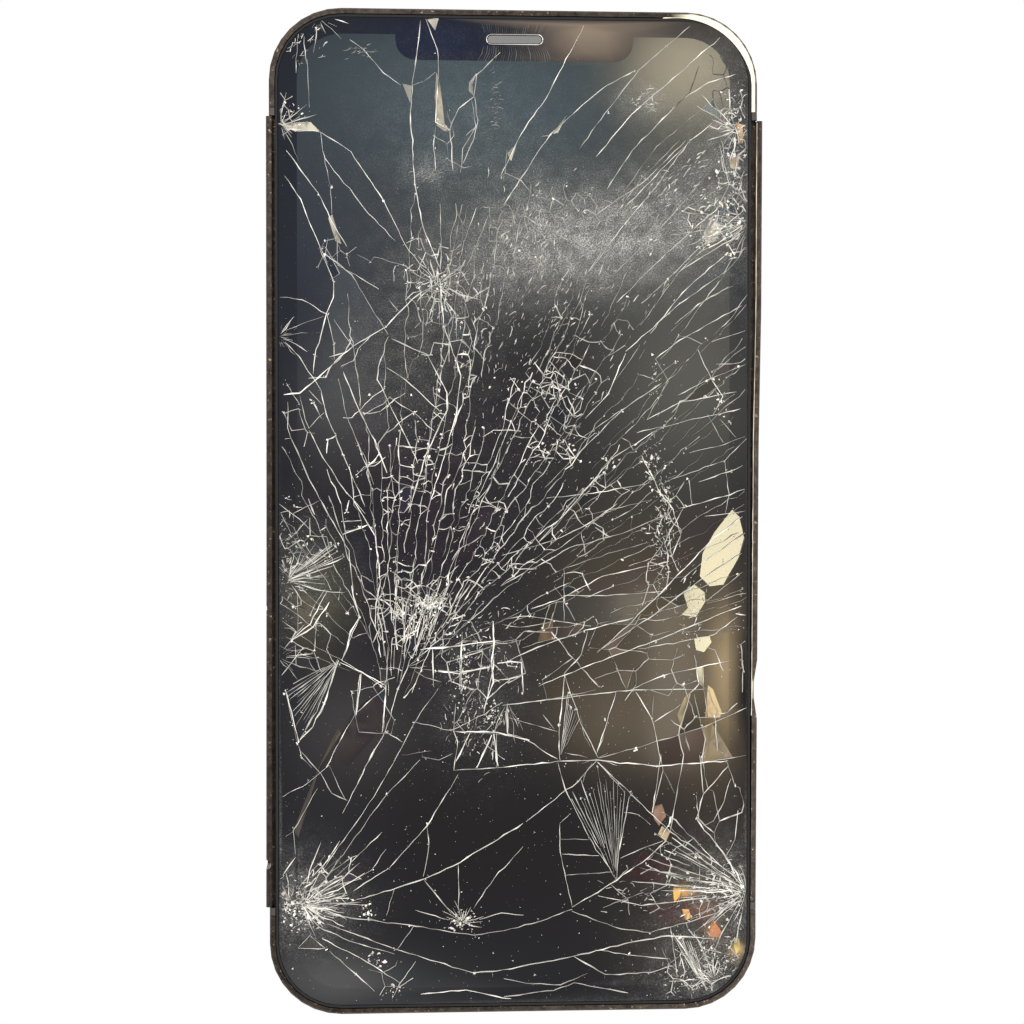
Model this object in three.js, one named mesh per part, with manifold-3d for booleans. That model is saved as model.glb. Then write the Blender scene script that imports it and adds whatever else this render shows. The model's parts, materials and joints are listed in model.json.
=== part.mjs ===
// A flat-sided smartphone with a shattered front glass, lying on its back.
// Millimetres, +Z out of the screen, +Y towards the earpiece, +X to the right of the screen.
// The origin is the middle of the flat back face.

import * as THREE from "three";
import { mergeVertices } from "three/addons/utils/BufferGeometryUtils.js";
import Module from "manifold-3d";

const wasm = await Module();
wasm.setup();

// Overall size of the body, without the camera island
const PHONE_W = 71.5;
const PHONE_L = 146.7;
const BODY_T = 7.4;
const CORNER_R = 10.5;
const CORNER_STEPS = 8;
const SMALL_STEPS = 2;
const ROUND_SIDES = 20;
const HOLE_SIDES = 8;

// Frame section
const FRAME_LIP = 0.8;
const FRAME_WALL = 2.2;
const FRAME_CHAMFER = 0.25;
const BREAK_FROM_END = 15.15;
const BREAK_W = 1.3;

// Fits
const BOND = 0.1;
const FIT = 0.15;
const ROOM = 0.3;
const MERGE = 1e-3;
const WELD = 1e-4;

// Front stack
const COVER_T = 0.65;
const COVER_EDGE = 0.22;
const GASKET_W = 0.35;
const GASKET_FOOT_W = 0.65;
const GASKET_FOOT_T = 0.25;
const GASKET_DROP = 0.2;
const PANEL_T = 0.55;
const PANEL_INSET = 3.3;
const BACKING_T = 0.2;
const BACKING_INSET = 3.7;
const NOTCH_W = 34.8;
const NOTCH_H = 6.4;
const NOTCH_R = 2.8;

// Earpiece slot
const SLOT_W = 8.1;
const SLOT_H = 1.3;
const SLOT_FROM_TOP = 4.3;
const MESH_T = 0.4;
const MESH_DROP = 0.15;

// Back stack
const BACK_T = 0.8;
const BACK_EDGE = 0.25;
const COIL_T = 0.4;
const COIL_OUTER = 21;
const COIL_INNER = 11.5;
const COIL_Y = -6;
const COIL_STEPS = 15;
const MID_T = 0.5;

// Camera island, seen through the phone from the front
const ISLAND_W = 27;
const ISLAND_L = 29.5;
const ISLAND_R = 7.5;
const ISLAND_H = 1.0;
const ISLAND_MARGIN = 3.4;
const LENS_D = 12.6;
const LENS_TUBE_D = 10.8;
const LENS_BORE_D = 9.2;
const LENS_PROUD = 0.5;
const LENS_PITCH = 14.6;
const LENS_WINDOW_T = 0.6;
const LENS_SIDE = 8.4;
const CAMERA_BODY = 12.4;
const CAMERA_R = 1;
const CAMERA_BARREL_D = 8;
const FLASH_D = 6;
const FLASH_SIDE = 6.8;

// Side buttons, switch and card tray, along Y from the earpiece end
const BUTTON_H = 2.5;
const BUTTON_PROUD = 0.45;
const BUTTON_TRAVEL = 0.3;
const BUTTON_FLANGE = 0.35;
const BUTTON_FLANGE_T = 0.4;
const BUTTON_STEM = 1.2;
const VOLUME_L = 9.8;
const VOLUME_UP_FROM_TOP = 42.75;
const VOLUME_DOWN_FROM_TOP = 55.15;
const POWER_L = 16.2;
const POWER_FROM_TOP = 48.75;
const SWITCH_L = 5.2;
const SWITCH_H = 1.5;
const SWITCH_R = 0.5;
const SWITCH_TRAVEL = 1.0;
const SWITCH_FROM_TOP = 30.15;
const DOME_L = 5.2;
const DOME_T = 0.8;
const DOME_H = 2.8;
const CONTROL_R = 0.4;
const TRAY_FROM_TOP = 82.35;
const TRAY_HEAD_L = 15;
const TRAY_HEAD_H = 2.3;
const TRAY_PLATE_L = 12.4;
const TRAY_PLATE_T = 0.9;
const TRAY_PLATE_R = 0.8;
const TRAY_DEPTH = 16.5;
const TRAY_CARD_L = 9;
const TRAY_CARD_D = 12.5;
const TRAY_CARD_R = 0.9;
const READER_WALL = 0.6;

// Bottom edge
const SOCKET_W = 9;
const SOCKET_H = 3.2;
const SOCKET_WALL = 0.3;
const SOCKET_DEPTH = 7.2;
const TONGUE_W = 6.4;
const TONGUE_T = 0.7;
const TONGUE_GAP = 1.2;
const SCREW_X = 7.2;
const SCREW_HEAD_D = 2;
const SCREW_HEAD_T = 0.6;
const SCREW_SHANK_D = 1.2;
const SCREW_L = 4.2;
const SOUND_HOLE_D = 1.4;
const SOUND_HOLE_PITCH = 2.3;
const SOUND_HOLE_X = 12;
const SPEAKER_HOLES = 6;
const MIC_HOLES = 4;

// Inner layout
const BOARD_T = 0.8;
const BOARD_W = 21;
const BOARD_ARM = 13;
const BOARD_TOP_GAP = 17;
const SHIELD_T = 1.9;
const SHIELD_WALL = 0.25;
const SHIELD_INSET = 1.4;
const SHIELD_R = 1.2;
const SHIELD_END_WALL = 1;
const BATTERY_EDGE = 0.5;
const BATTERY_R = 1.5;
const BATTERY_BELOW_CAMERAS = 2;
const BOTTOM_BAY = 24;
const SPEAKER_FROM_MIDDLE = 9.25;
const PLENUM_WALL = 1;
const PLENUM_DEPTH = 3;
const PLENUM_H = 2;
const MOTOR_W = 21;
const MOTOR_L = 10.5;
const MOTOR_T = 3;
const MOTOR_EDGE = 0.3;
const MOTOR_R = 1;
const CHARGE_BRIDGE = 2;
const CHARGE_BOARD_T = 0.5;
const CABLE_W = 8;
const CABLE_T = 0.3;
const EARPIECE_W = 12;
const EARPIECE_L = 8;
const FRONT_CAMERA_X = -12.2;
const FRONT_CAMERA_W = 6.4;
const FRONT_BARREL_D = 3.4;
const SENSOR_X = 12.4;
const SENSOR_W = 9.6;
const SENSOR_EYE_D = 2.4;
const SENSOR_EYE_PITCH = 4.6;
const FRONT_MODULE_T = 2.4;
const FRONT_MODULE_R = 0.8;

// Damage to the rails: how far each stands out along its length, and the knocks in it.
// Places along a rail are shares of the phone's half length from its middle
const LEFT_SPREAD = 0.42;
const LEFT_SPREAD_FOOT = 0.52;
const RIGHT_SPREAD_TOP = 0.8;
const RIGHT_SPREAD_FOOT = 0;
const RIGHT_KNEE_AT = 0.41;
const RIGHT_KNEE_SPREAD = 0.7;
const RIGHT_BEND_AT = 0.136;
const RIGHT_BEND_SPREAD = 0.35;
const DENT_AT = -0.357;
const DENT_HALF = 4.4;
const DENT_DEPTH = 0.5;
const GOUGE_AT = -0.7;
const GOUGE_R = 0.75;
const NICK_AT = -0.19;
const NICK_R = 0.35;
const KNOCK_SIDES = 10;
const KNOCK_TAPER = 0.8;
const KNOCK_LEVEL = 0.75;

// Cracks are drawn on a sheet, x to the right and y down, on which the phone has this size,
// middle and slight skew
const SHEET_W = 487.4;
const SHEET_L = 1000;
const SHEET_MID_X = 512.9;
const SHEET_MID_Y = 510.9;
const SHEET_LEAN = 0.0047;
const SHEET_TILT = 0.02;
const SHEET_FAN = 2.55e-5;
const CRACK_W = 0.2;
const CRACK_DEPTH = 0.36;
const CRACK_TIP = 0.25;
const CRACK_ABOVE = 0.05;
const CHIP_DEPTH = 0.45;
const CHIP_SIDES = 7;
const CHIP_TAPER = 0.7;
const RAY_REACH_STEP = 2.4;
const RAY_BEND_STEP = 1.7;
const RAY_BEND = 0.08;

// Levels worked out from the stack
const coverLow = BODY_T - COVER_T;
const footTop = coverLow - BOND / 2;
const footLow = footTop - GASKET_FOOT_T;
const ledgeZ = footLow - BOND;
const panelTop = coverLow - BOND;
const panelLow = panelTop - PANEL_T;
const backingTop = panelLow - BOND;
const backingLow = backingTop - BACKING_T;
const bayTop = backingLow - BOND;
const shelfZ = BACK_T + BOND;
const coilTop = shelfZ + COIL_T;
const midLow = coilTop + BOND;
const midTop = midLow + MID_T;
const bayLow = midTop + BOND;

// Insets from the outer faces
const halfL = PHONE_L / 2;
const gasketOut = FRAME_LIP + BOND;
const gasketIn = gasketOut + GASKET_W;
const coverInset = gasketIn + BOND;
const backInset = FRAME_LIP + FIT;
const midInset = FRAME_WALL + FIT;
const wallX = PHONE_W / 2 - FRAME_WALL;
const wallY = halfL - FRAME_WALL;
const bayX = wallX - ROOM;
const bayY = wallY - ROOM;
const bayCorner = CORNER_R - FRAME_WALL;

// Places along the phone
const sideZ = BODY_T / 2;
const breakY = halfL - BREAK_FROM_END;
const volumeUpY = halfL - VOLUME_UP_FROM_TOP;
const volumeDownY = halfL - VOLUME_DOWN_FROM_TOP;
const powerY = halfL - POWER_FROM_TOP;
const switchY = halfL - SWITCH_FROM_TOP;
const trayY = halfL - TRAY_FROM_TOP;
const rightKneeY = RIGHT_KNEE_AT * halfL;
const rightBendY = RIGHT_BEND_AT * halfL;
const dentY = DENT_AT * halfL;

const root = new THREE.Group();

// Materials, by what the pieces are made of
const finishes = {
  blackGlass: { color: 0x16181d, roughness: 0.12, metalness: 0 },
  wornMetal: { color: 0x5d5147, roughness: 0.42, metalness: 1 },
  brightMetal: { color: 0xb9b8b4, roughness: 0.3, metalness: 1 },
  darkPlastic: { color: 0x24242a, roughness: 0.6, metalness: 0 },
  greyPlastic: { color: 0x5a5b5e, roughness: 0.55, metalness: 0 },
  copper: { color: 0xb06a3c, roughness: 0.4, metalness: 1 },
  boardGreen: { color: 0x1d2f2a, roughness: 0.5, metalness: 0 },
  lensGlass: { color: 0x0c0e14, roughness: 0.08, metalness: 0 },
  flashYellow: { color: 0xe6dca8, roughness: 0.3, metalness: 0 },
};

function addPiece(name, geometry, finish) {
  const mesh = new THREE.Mesh(geometry, new THREE.MeshStandardMaterial(finishes[finish]));
  mesh.name = name;
  root.add(mesh);
}

// Solids and booleans

function toSolid(geometry) {
  const bare = geometry.clone();
  bare.deleteAttribute("normal");
  bare.deleteAttribute("uv");
  const merged = mergeVertices(bare, WELD);
  return new wasm.Manifold(new wasm.Mesh({
    numProp: 3,
    vertProperties: new Float32Array(merged.attributes.position.array),
    triVerts: new Uint32Array(merged.index.array),
  }));
}

function toGeometry(solid) {
  const mesh = solid.getMesh();
  const geometry = new THREE.BufferGeometry();
  geometry.setAttribute("position", new THREE.BufferAttribute(mesh.vertProperties, 3));
  geometry.setIndex(new THREE.BufferAttribute(mesh.triVerts, 1));
  geometry.computeVertexNormals();
  return geometry;
}

function cut(base, tools) {
  return toGeometry(tools.reduce((solid, tool) => solid.subtract(toSolid(tool)), toSolid(base)));
}

function join(pieces) {
  const [first, ...rest] = pieces;
  return toGeometry(rest.reduce((solid, piece) => solid.add(toSolid(piece)), toSolid(first)));
}

// Outlines

function roundedRect(width, height, radius, x = 0, y = 0) {
  const shape = new THREE.Shape();
  const dx = width / 2 - radius;
  const dy = height / 2 - radius;
  shape.absarc(x + dx, y + dy, radius, 0, Math.PI / 2);
  shape.absarc(x - dx, y + dy, radius, Math.PI / 2, Math.PI);
  shape.absarc(x - dx, y - dy, radius, Math.PI, Math.PI * 1.5);
  shape.absarc(x + dx, y - dy, radius, Math.PI * 1.5, Math.PI * 2);
  return shape;
}

function capsule(length, height, x = 0, y = 0) {
  return roundedRect(length, height, height / 2 - MERGE, x, y);
}

function polygon(points) {
  return new THREE.Shape(points.map(([x, y]) => new THREE.Vector2(x, y)));
}

function inset(amount) {
  return roundedRect(PHONE_W - 2 * amount, PHONE_L - 2 * amount, CORNER_R - amount);
}

// Extrusions along Z, along X through the side walls and along Y through the end walls

function prism(shape, low, high, steps = SMALL_STEPS) {
  const settings = { depth: high - low, bevelEnabled: false, curveSegments: steps };
  return new THREE.ExtrudeGeometry(shape, settings).translate(0, 0, low);
}

function bevelled(shape, low, high, bevel, steps = CORNER_STEPS / 2) {
  const settings = {
    depth: high - low - 2 * bevel,
    bevelThickness: bevel,
    bevelSize: bevel,
    bevelOffset: -bevel,
    bevelSegments: 1,
    curveSegments: steps,
  };
  return new THREE.ExtrudeGeometry(shape, settings).translate(0, 0, low + bevel);
}

const alongX = new THREE.Matrix4().makeBasis(
  new THREE.Vector3(0, 1, 0), new THREE.Vector3(0, 0, 1), new THREE.Vector3(1, 0, 0));
const alongY = new THREE.Matrix4().makeBasis(
  new THREE.Vector3(-1, 0, 0), new THREE.Vector3(0, 0, 1), new THREE.Vector3(0, 1, 0));

function sidePrism(shape, from, to) {
  return prism(shape, Math.min(from, to), Math.max(from, to)).applyMatrix4(alongX);
}

function endPrism(shape, from, to) {
  return prism(shape, from, to).applyMatrix4(alongY);
}

function block(x0, x1, y0, y1, z0, z1) {
  return new THREE.BoxGeometry(x1 - x0, y1 - y0, z1 - z0)
    .translate((x0 + x1) / 2, (y0 + y1) / 2, (z0 + z1) / 2);
}

function disc(diameter, x, y, low, high, sides = ROUND_SIDES) {
  return new THREE.CylinderGeometry(diameter / 2, diameter / 2, high - low, sides)
    .rotateX(Math.PI / 2)
    .translate(x, y, (low + high) / 2);
}

function turned(profile, sides = ROUND_SIDES) {
  const points = profile.map(([radius, height]) => new THREE.Vector2(radius, height));
  return new THREE.LatheGeometry([...points, points[0].clone()], sides).rotateX(Math.PI / 2);
}

// A loft through rings of equal length, capped or closed on itself

function loft(rings, section, closed) {
  const count = section.length;
  const positions = rings.flat().flatMap((point) => point.toArray());
  const faces = [];
  const spans = closed ? rings.length : rings.length - 1;
  for (let ring = 0; ring < spans; ring++) {
    const here = ring * count;
    const next = ((ring + 1) % rings.length) * count;
    for (let side = 0; side < count; side++) {
      const turn = (side + 1) % count;
      faces.push(here + side, here + turn, next + turn, here + side, next + turn, next + side);
    }
  }
  if (!closed) {
    const flat = section.map(([u, z]) => new THREE.Vector2(u, z));
    const last = (rings.length - 1) * count;
    for (const [a, b, c] of THREE.ShapeUtils.triangulateShape(flat, [])) {
      faces.push(a, c, b, last + a, last + b, last + c);
    }
  }
  const geometry = new THREE.BufferGeometry();
  geometry.setAttribute("position", new THREE.Float32BufferAttribute(positions, 3));
  geometry.setIndex(faces);
  return facedOut(geometry);
}

function facedOut(geometry) {
  const at = geometry.attributes.position;
  const index = geometry.index.array;
  const corner = [new THREE.Vector3(), new THREE.Vector3(), new THREE.Vector3()];
  let volume = 0;
  for (let i = 0; i < index.length; i += 3) {
    corner.forEach((point, k) => point.fromBufferAttribute(at, index[i + k]));
    volume += corner[0].dot(corner[1].clone().cross(corner[2]));
  }
  if (volume < 0) {
    for (let i = 0; i < index.length; i += 3) {
      [index[i], index[i + 1]] = [index[i + 1], index[i]];
    }
  }
  geometry.computeVertexNormals();
  return geometry;
}

// The rim: stations along the outline with their outward directions

function cornerStations(x, y, start) {
  const stations = [];
  for (let step = 0; step <= CORNER_STEPS; step++) {
    const angle = start + (step / CORNER_STEPS) * (Math.PI / 2);
    const out = new THREE.Vector2(Math.cos(angle), Math.sin(angle));
    stations.push({ at: new THREE.Vector2(x, y).addScaledVector(out, CORNER_R), out });
  }
  return stations;
}

function sweepRim(section, stations, closed) {
  const rings = stations.map(({ at, out }) => section.map(
    ([u, z]) => new THREE.Vector3(at.x + out.x * u, at.y + out.y * u, z)));
  return loft(rings, section, closed);
}

const cornerX = PHONE_W / 2 - CORNER_R;
const cornerY = halfL - CORNER_R;
const rightTop = cornerStations(cornerX, cornerY, 0);
const leftTop = cornerStations(-cornerX, cornerY, Math.PI / 2);
const leftFoot = cornerStations(-cornerX, -cornerY, Math.PI);
const rightFoot = cornerStations(cornerX, -cornerY, Math.PI * 1.5);

function sideStation(side, y) {
  return { at: new THREE.Vector2(side * PHONE_W / 2, y), out: new THREE.Vector2(side, 0) };
}

const frameSection = [
  [-FRAME_CHAMFER, 0],
  [0, FRAME_CHAMFER],
  [0, BODY_T - FRAME_CHAMFER],
  [-FRAME_CHAMFER, BODY_T],
  [-FRAME_LIP, BODY_T],
  [-FRAME_LIP, ledgeZ],
  [-FRAME_WALL, ledgeZ],
  [-FRAME_WALL, shelfZ],
  [-FRAME_LIP, shelfZ],
  [-FRAME_LIP, 0],
];

const gasketSection = [
  [-gasketOut, footLow],
  [-gasketOut, BODY_T - GASKET_DROP],
  [-gasketIn, BODY_T - GASKET_DROP],
  [-gasketIn, footTop],
  [-gasketIn - GASKET_FOOT_W, footTop],
  [-gasketIn - GASKET_FOOT_W, footLow],
];

// Frame ends

const bandEnd = breakY + BREAK_W / 2;
const railEnd = breakY - BREAK_W / 2;

function buildBands() {
  const top = [sideStation(1, bandEnd), ...rightTop, ...leftTop, sideStation(-1, bandEnd)];
  addPiece("top_band", sweepRim(frameSection, top, false), "wornMetal");

  const foot = [sideStation(-1, -bandEnd), ...leftFoot, ...rightFoot, sideStation(1, -bandEnd)];
  const outer = -halfL - ROOM;
  const inner = -wallY + ROOM;
  const openings = [endPrism(capsule(SOCKET_W + 2 * FIT, SOCKET_H + 2 * FIT, 0, sideZ), outer, inner)];
  for (const side of [-1, 1]) {
    const screwHole = SCREW_SHANK_D + 2 * FIT;
    const headHole = SCREW_HEAD_D + 2 * FIT;
    const headSeat = -halfL + SCREW_HEAD_T + FIT;
    openings.push(endHole(side * SCREW_X, screwHole, outer, inner));
    openings.push(endHole(side * SCREW_X, headHole, outer, headSeat));
  }
  for (let hole = 0; hole < SPEAKER_HOLES; hole++) {
    openings.push(endHole(SOUND_HOLE_X + hole * SOUND_HOLE_PITCH, SOUND_HOLE_D, outer, inner));
  }
  for (let hole = 0; hole < MIC_HOLES; hole++) {
    openings.push(endHole(-SOUND_HOLE_X - hole * SOUND_HOLE_PITCH, SOUND_HOLE_D, outer, inner));
  }
  addPiece("bottom_band", cut(sweepRim(frameSection, foot, false), openings), "wornMetal");
}

function endHole(x, diameter, from, to) {
  return new THREE.CylinderGeometry(diameter / 2, diameter / 2, to - from, HOLE_SIDES)
    .translate(x, (from + to) / 2, sideZ);
}

function buildBreaks() {
  const places = { top_left: [-1, 1], top_right: [1, 1], bottom_left: [-1, -1], bottom_right: [1, -1] };
  const half = BREAK_W / 2 - BOND;
  for (const [place, [side, end]] of Object.entries(places)) {
    const stations = [sideStation(side, end * breakY - half), sideStation(side, end * breakY + half)];
    addPiece(`antenna_break_${place}`, sweepRim(frameSection, stations, false), "darkPlastic");
  }
}

// Side rails, sprung outward: each is lofted through sections that stand out by its spread,
// and at the dent the outer face is crushed inward

function railSpread(knots, y) {
  const next = knots.findIndex(([at]) => at >= y);
  if (next <= 0) {
    return knots[0][1];
  }
  const [y0, s0] = knots[next - 1];
  const [y1, s1] = knots[next];
  return s0 + (s1 - s0) * (y - y0) / (y1 - y0);
}

function railGeometry(side, knots) {
  const rings = knots.map(([y, spread, crush = 0]) => frameSection.map(([u, z]) => {
    const pushed = u >= -FRAME_CHAMFER ? crush : 0;
    return new THREE.Vector3(side * (PHONE_W / 2 + spread + u - pushed), y, z);
  }));
  return loft(rings, frameSection, false);
}

const leftKnots = [[-railEnd, LEFT_SPREAD_FOOT], [0, LEFT_SPREAD], [railEnd, LEFT_SPREAD]];

function rightBow(y) {
  const share = (y + railEnd) / (rightBendY + railEnd);
  return RIGHT_SPREAD_FOOT + (RIGHT_BEND_SPREAD - RIGHT_SPREAD_FOOT) * share;
}

const rightKnots = [
  [-railEnd, RIGHT_SPREAD_FOOT],
  [dentY - DENT_HALF, rightBow(dentY - DENT_HALF)],
  [dentY - DENT_HALF / 4, rightBow(dentY), DENT_DEPTH],
  [dentY + DENT_HALF / 4, rightBow(dentY), DENT_DEPTH],
  [dentY + DENT_HALF, rightBow(dentY + DENT_HALF)],
  [rightBendY, RIGHT_BEND_SPREAD],
  [rightKneeY, RIGHT_KNEE_SPREAD],
  [railEnd, RIGHT_SPREAD_TOP],
];

function sideSlot(side, length, height, y, radius = height / 2) {
  const shape = roundedRect(length + 2 * FIT, height + 2 * FIT, radius + FIT - MERGE, y, sideZ);
  const outer = PHONE_W / 2 + RIGHT_SPREAD_TOP + ROOM;
  return sidePrism(shape, side * (wallX - ROOM), side * outer);
}

function knock(place, radius) {
  const y = place * halfL;
  const x = -PHONE_W / 2 - railSpread(leftKnots, y);
  return new THREE.CylinderGeometry(radius, radius * KNOCK_TAPER, BODY_T, KNOCK_SIDES)
    .rotateX(Math.PI / 2)
    .translate(x, y, BODY_T * KNOCK_LEVEL);
}

function buildRails() {
  const leftCuts = [
    sideSlot(-1, VOLUME_L, BUTTON_H, volumeUpY),
    sideSlot(-1, VOLUME_L, BUTTON_H, volumeDownY),
    sideSlot(-1, SWITCH_L, SWITCH_H + SWITCH_TRAVEL, switchY, SWITCH_R),
    sideSlot(-1, TRAY_HEAD_L, TRAY_HEAD_H, trayY),
    knock(GOUGE_AT, GOUGE_R),
    knock(NICK_AT, NICK_R),
  ];
  addPiece("left_rail", cut(railGeometry(-1, leftKnots), leftCuts), "wornMetal");
  const rightCuts = [sideSlot(1, POWER_L, BUTTON_H, powerY)];
  addPiece("right_rail", cut(railGeometry(1, rightKnots), rightCuts), "wornMetal");
}

// Side controls. Each is a cap in the rail's slot, a flange behind the wall and a stem to its switch

function railInner(side, y) {
  return wallX + railSpread(side < 0 ? leftKnots : rightKnots, y);
}

function flangeStart(side, y, length) {
  const ends = [y - length / 2, y + length / 2].map((end) => railInner(side, end));
  return Math.min(...ends) - ROOM;
}

function pushButton(side, length, y) {
  const flangeOuter = flangeStart(side, y, length);
  const flangeInner = flangeOuter - BUTTON_FLANGE_T;
  const face = PHONE_W / 2 + BUTTON_PROUD;
  const flangeShape = capsule(length + 2 * BUTTON_FLANGE, BUTTON_H + 2 * BUTTON_FLANGE, y, sideZ);
  return join([
    sidePrism(capsule(length, BUTTON_H, y, sideZ), side * flangeOuter, side * face),
    sidePrism(flangeShape, side * flangeInner, side * flangeOuter),
    sidePrism(capsule(BUTTON_STEM, BUTTON_STEM, y, sideZ), side * (flangeInner - FIT), side * flangeInner),
  ]);
}

function dome(side, length, y) {
  const front = flangeStart(side, y, length) - BUTTON_FLANGE_T - FIT - BUTTON_TRAVEL - FIT;
  return sidePrism(
    roundedRect(DOME_L, DOME_H, CONTROL_R, y, bayLow + DOME_H / 2), side * (front - DOME_T), side * front);
}

function buildControls() {
  const buttons = [
    ["power", 1, POWER_L, powerY],
    ["volume_up", -1, VOLUME_L, volumeUpY],
    ["volume_down", -1, VOLUME_L, volumeDownY],
  ];
  for (const [name, side, length, y] of buttons) {
    addPiece(`${name}_button`, pushButton(side, length, y), "wornMetal");
    addPiece(`${name}_dome`, dome(side, length, y), "greyPlastic");
  }

  const switchZ = sideZ + SWITCH_TRAVEL / 2;
  const outer = flangeStart(-1, switchY, SWITCH_L);
  const inner = outer - BUTTON_FLANGE_T;
  const face = PHONE_W / 2 + BUTTON_PROUD;
  const flange = roundedRect(
    SWITCH_L + 2 * BUTTON_FLANGE, SWITCH_H + 2 * BUTTON_FLANGE, CONTROL_R, switchY, switchZ);
  addPiece("ring_switch", join([
    sidePrism(roundedRect(SWITCH_L, SWITCH_H, SWITCH_R, switchY, switchZ), -face, -outer),
    sidePrism(flange, -outer, -inner),
  ]), "wornMetal");
  const contact = roundedRect(DOME_L, DOME_H, CONTROL_R, switchY, bayLow + DOME_H / 2);
  addPiece("ring_contact", sidePrism(contact, -(inner - ROOM), -(inner - ROOM - DOME_T)), "greyPlastic");
}

// Card tray and its reader

const trayInnerX = wallX + LEFT_SPREAD - TRAY_DEPTH;
const readerOuterX = wallX - ROOM;
const readerInnerX = trayInnerX - ROOM;

function buildTray() {
  const face = PHONE_W / 2 + BUTTON_PROUD;
  const headInner = wallX + LEFT_SPREAD;
  const head = sidePrism(capsule(TRAY_HEAD_L, TRAY_HEAD_H, trayY, sideZ), -face, -headInner);
  const plateOuter = headInner + BOND;
  const plateX = -(plateOuter + trayInnerX) / 2;
  const plate = prism(
    roundedRect(plateOuter - trayInnerX, TRAY_PLATE_L, TRAY_PLATE_R, plateX, trayY),
    sideZ - TRAY_PLATE_T / 2, sideZ + TRAY_PLATE_T / 2);
  const rim = (TRAY_PLATE_L - TRAY_CARD_L) / 2;
  const cardX = -(trayInnerX + rim + TRAY_CARD_D / 2);
  const card = prism(
    roundedRect(TRAY_CARD_D, TRAY_CARD_L, TRAY_CARD_R, cardX, trayY),
    sideZ - TRAY_PLATE_T, sideZ + TRAY_PLATE_T);
  addPiece("sim_tray", cut(join([head, plate]), [card]), "wornMetal");

  const halfChannel = TRAY_PLATE_L / 2 + FIT;
  const channelHigh = sideZ + TRAY_PLATE_T / 2 + FIT;
  const channelLow = sideZ - TRAY_PLATE_T / 2 - FIT;
  const housing = block(
    -readerOuterX, -readerInnerX, trayY - halfChannel - READER_WALL, trayY + halfChannel + READER_WALL,
    bayLow, channelHigh + READER_WALL);
  const channel = block(
    -readerOuterX - ROOM, -readerInnerX + ROOM, trayY - halfChannel, trayY + halfChannel,
    channelLow, channelHigh);
  addPiece("sim_reader", cut(housing, [channel]), "brightMetal");
}

// Display: cover glass, gasket, panel and back plate

function notched(amount) {
  const top = halfL - amount;
  const right = PHONE_W / 2 - amount;
  const radius = CORNER_R - amount;
  const side = NOTCH_W / 2;
  const floor = halfL - coverInset - NOTCH_H;
  const shape = new THREE.Shape();
  shape.absarc(-right + radius, top - radius, radius, Math.PI / 2, Math.PI);
  shape.absarc(-right + radius, -top + radius, radius, Math.PI, Math.PI * 1.5);
  shape.absarc(right - radius, -top + radius, radius, Math.PI * 1.5, Math.PI * 2);
  shape.absarc(right - radius, top - radius, radius, 0, Math.PI / 2);
  shape.lineTo(side, top);
  shape.absarc(side - NOTCH_R, floor + NOTCH_R, NOTCH_R, 0, -Math.PI / 2, true);
  shape.absarc(-side + NOTCH_R, floor + NOTCH_R, NOTCH_R, -Math.PI / 2, -Math.PI, true);
  shape.lineTo(-side, top);
  return shape;
}

const slotY = halfL - SLOT_FROM_TOP;

function onGlass(px, py) {
  const across = px - SHEET_MID_X;
  const up = SHEET_MID_Y - py;
  return new THREE.Vector2(
    PHONE_W / SHEET_W * (across - SHEET_LEAN * up),
    PHONE_L / SHEET_L * (up - across * (SHEET_TILT - SHEET_FAN * up)));
}

// A crack is a V groove along its traced path, thin and shallow at both tips

function groove(path, width) {
  const points = [];
  for (let i = 0; i < path.length; i += 2) {
    points.push(onGlass(path[i], path[i + 1]));
  }
  const section = [[0, 0], [1, 1], [-1, 1]];
  const rings = points.map((point, i) => {
    const before = points[Math.max(i - 1, 0)];
    const after = points[Math.min(i + 1, points.length - 1)];
    const along = after.clone().sub(before).normalize();
    const share = i === 0 || i === points.length - 1 ? CRACK_TIP : 1;
    const side = new THREE.Vector2(-along.y, along.x).multiplyScalar(width / 2 * share);
    const floor = BODY_T - CRACK_DEPTH * share;
    return [
      new THREE.Vector3(point.x, point.y, floor),
      new THREE.Vector3(point.x + side.x, point.y + side.y, BODY_T + CRACK_ABOVE),
      new THREE.Vector3(point.x - side.x, point.y - side.y, BODY_T + CRACK_ABOVE),
    ];
  });
  return loft(rings, section, false);
}

// Rays from an impact: bearings in degrees clockwise from the top of the sheet, lengths on the sheet

function rays(x, y, from, to, count, near, far) {
  const paths = [];
  for (let ray = 0; ray < count; ray++) {
    const bearing = THREE.MathUtils.degToRad(from + (to - from) * ray / (count - 1));
    const reach = near + (far - near) * (1 + Math.sin(RAY_REACH_STEP * ray + 1)) / 2;
    const bend = bearing + RAY_BEND * Math.sin(RAY_BEND_STEP * ray);
    paths.push([
      x, y,
      x + reach / 2 * Math.sin(bend), y - reach / 2 * Math.cos(bend),
      x + reach * Math.sin(bearing), y - reach * Math.cos(bearing),
    ]);
  }
  return paths;
}

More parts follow.
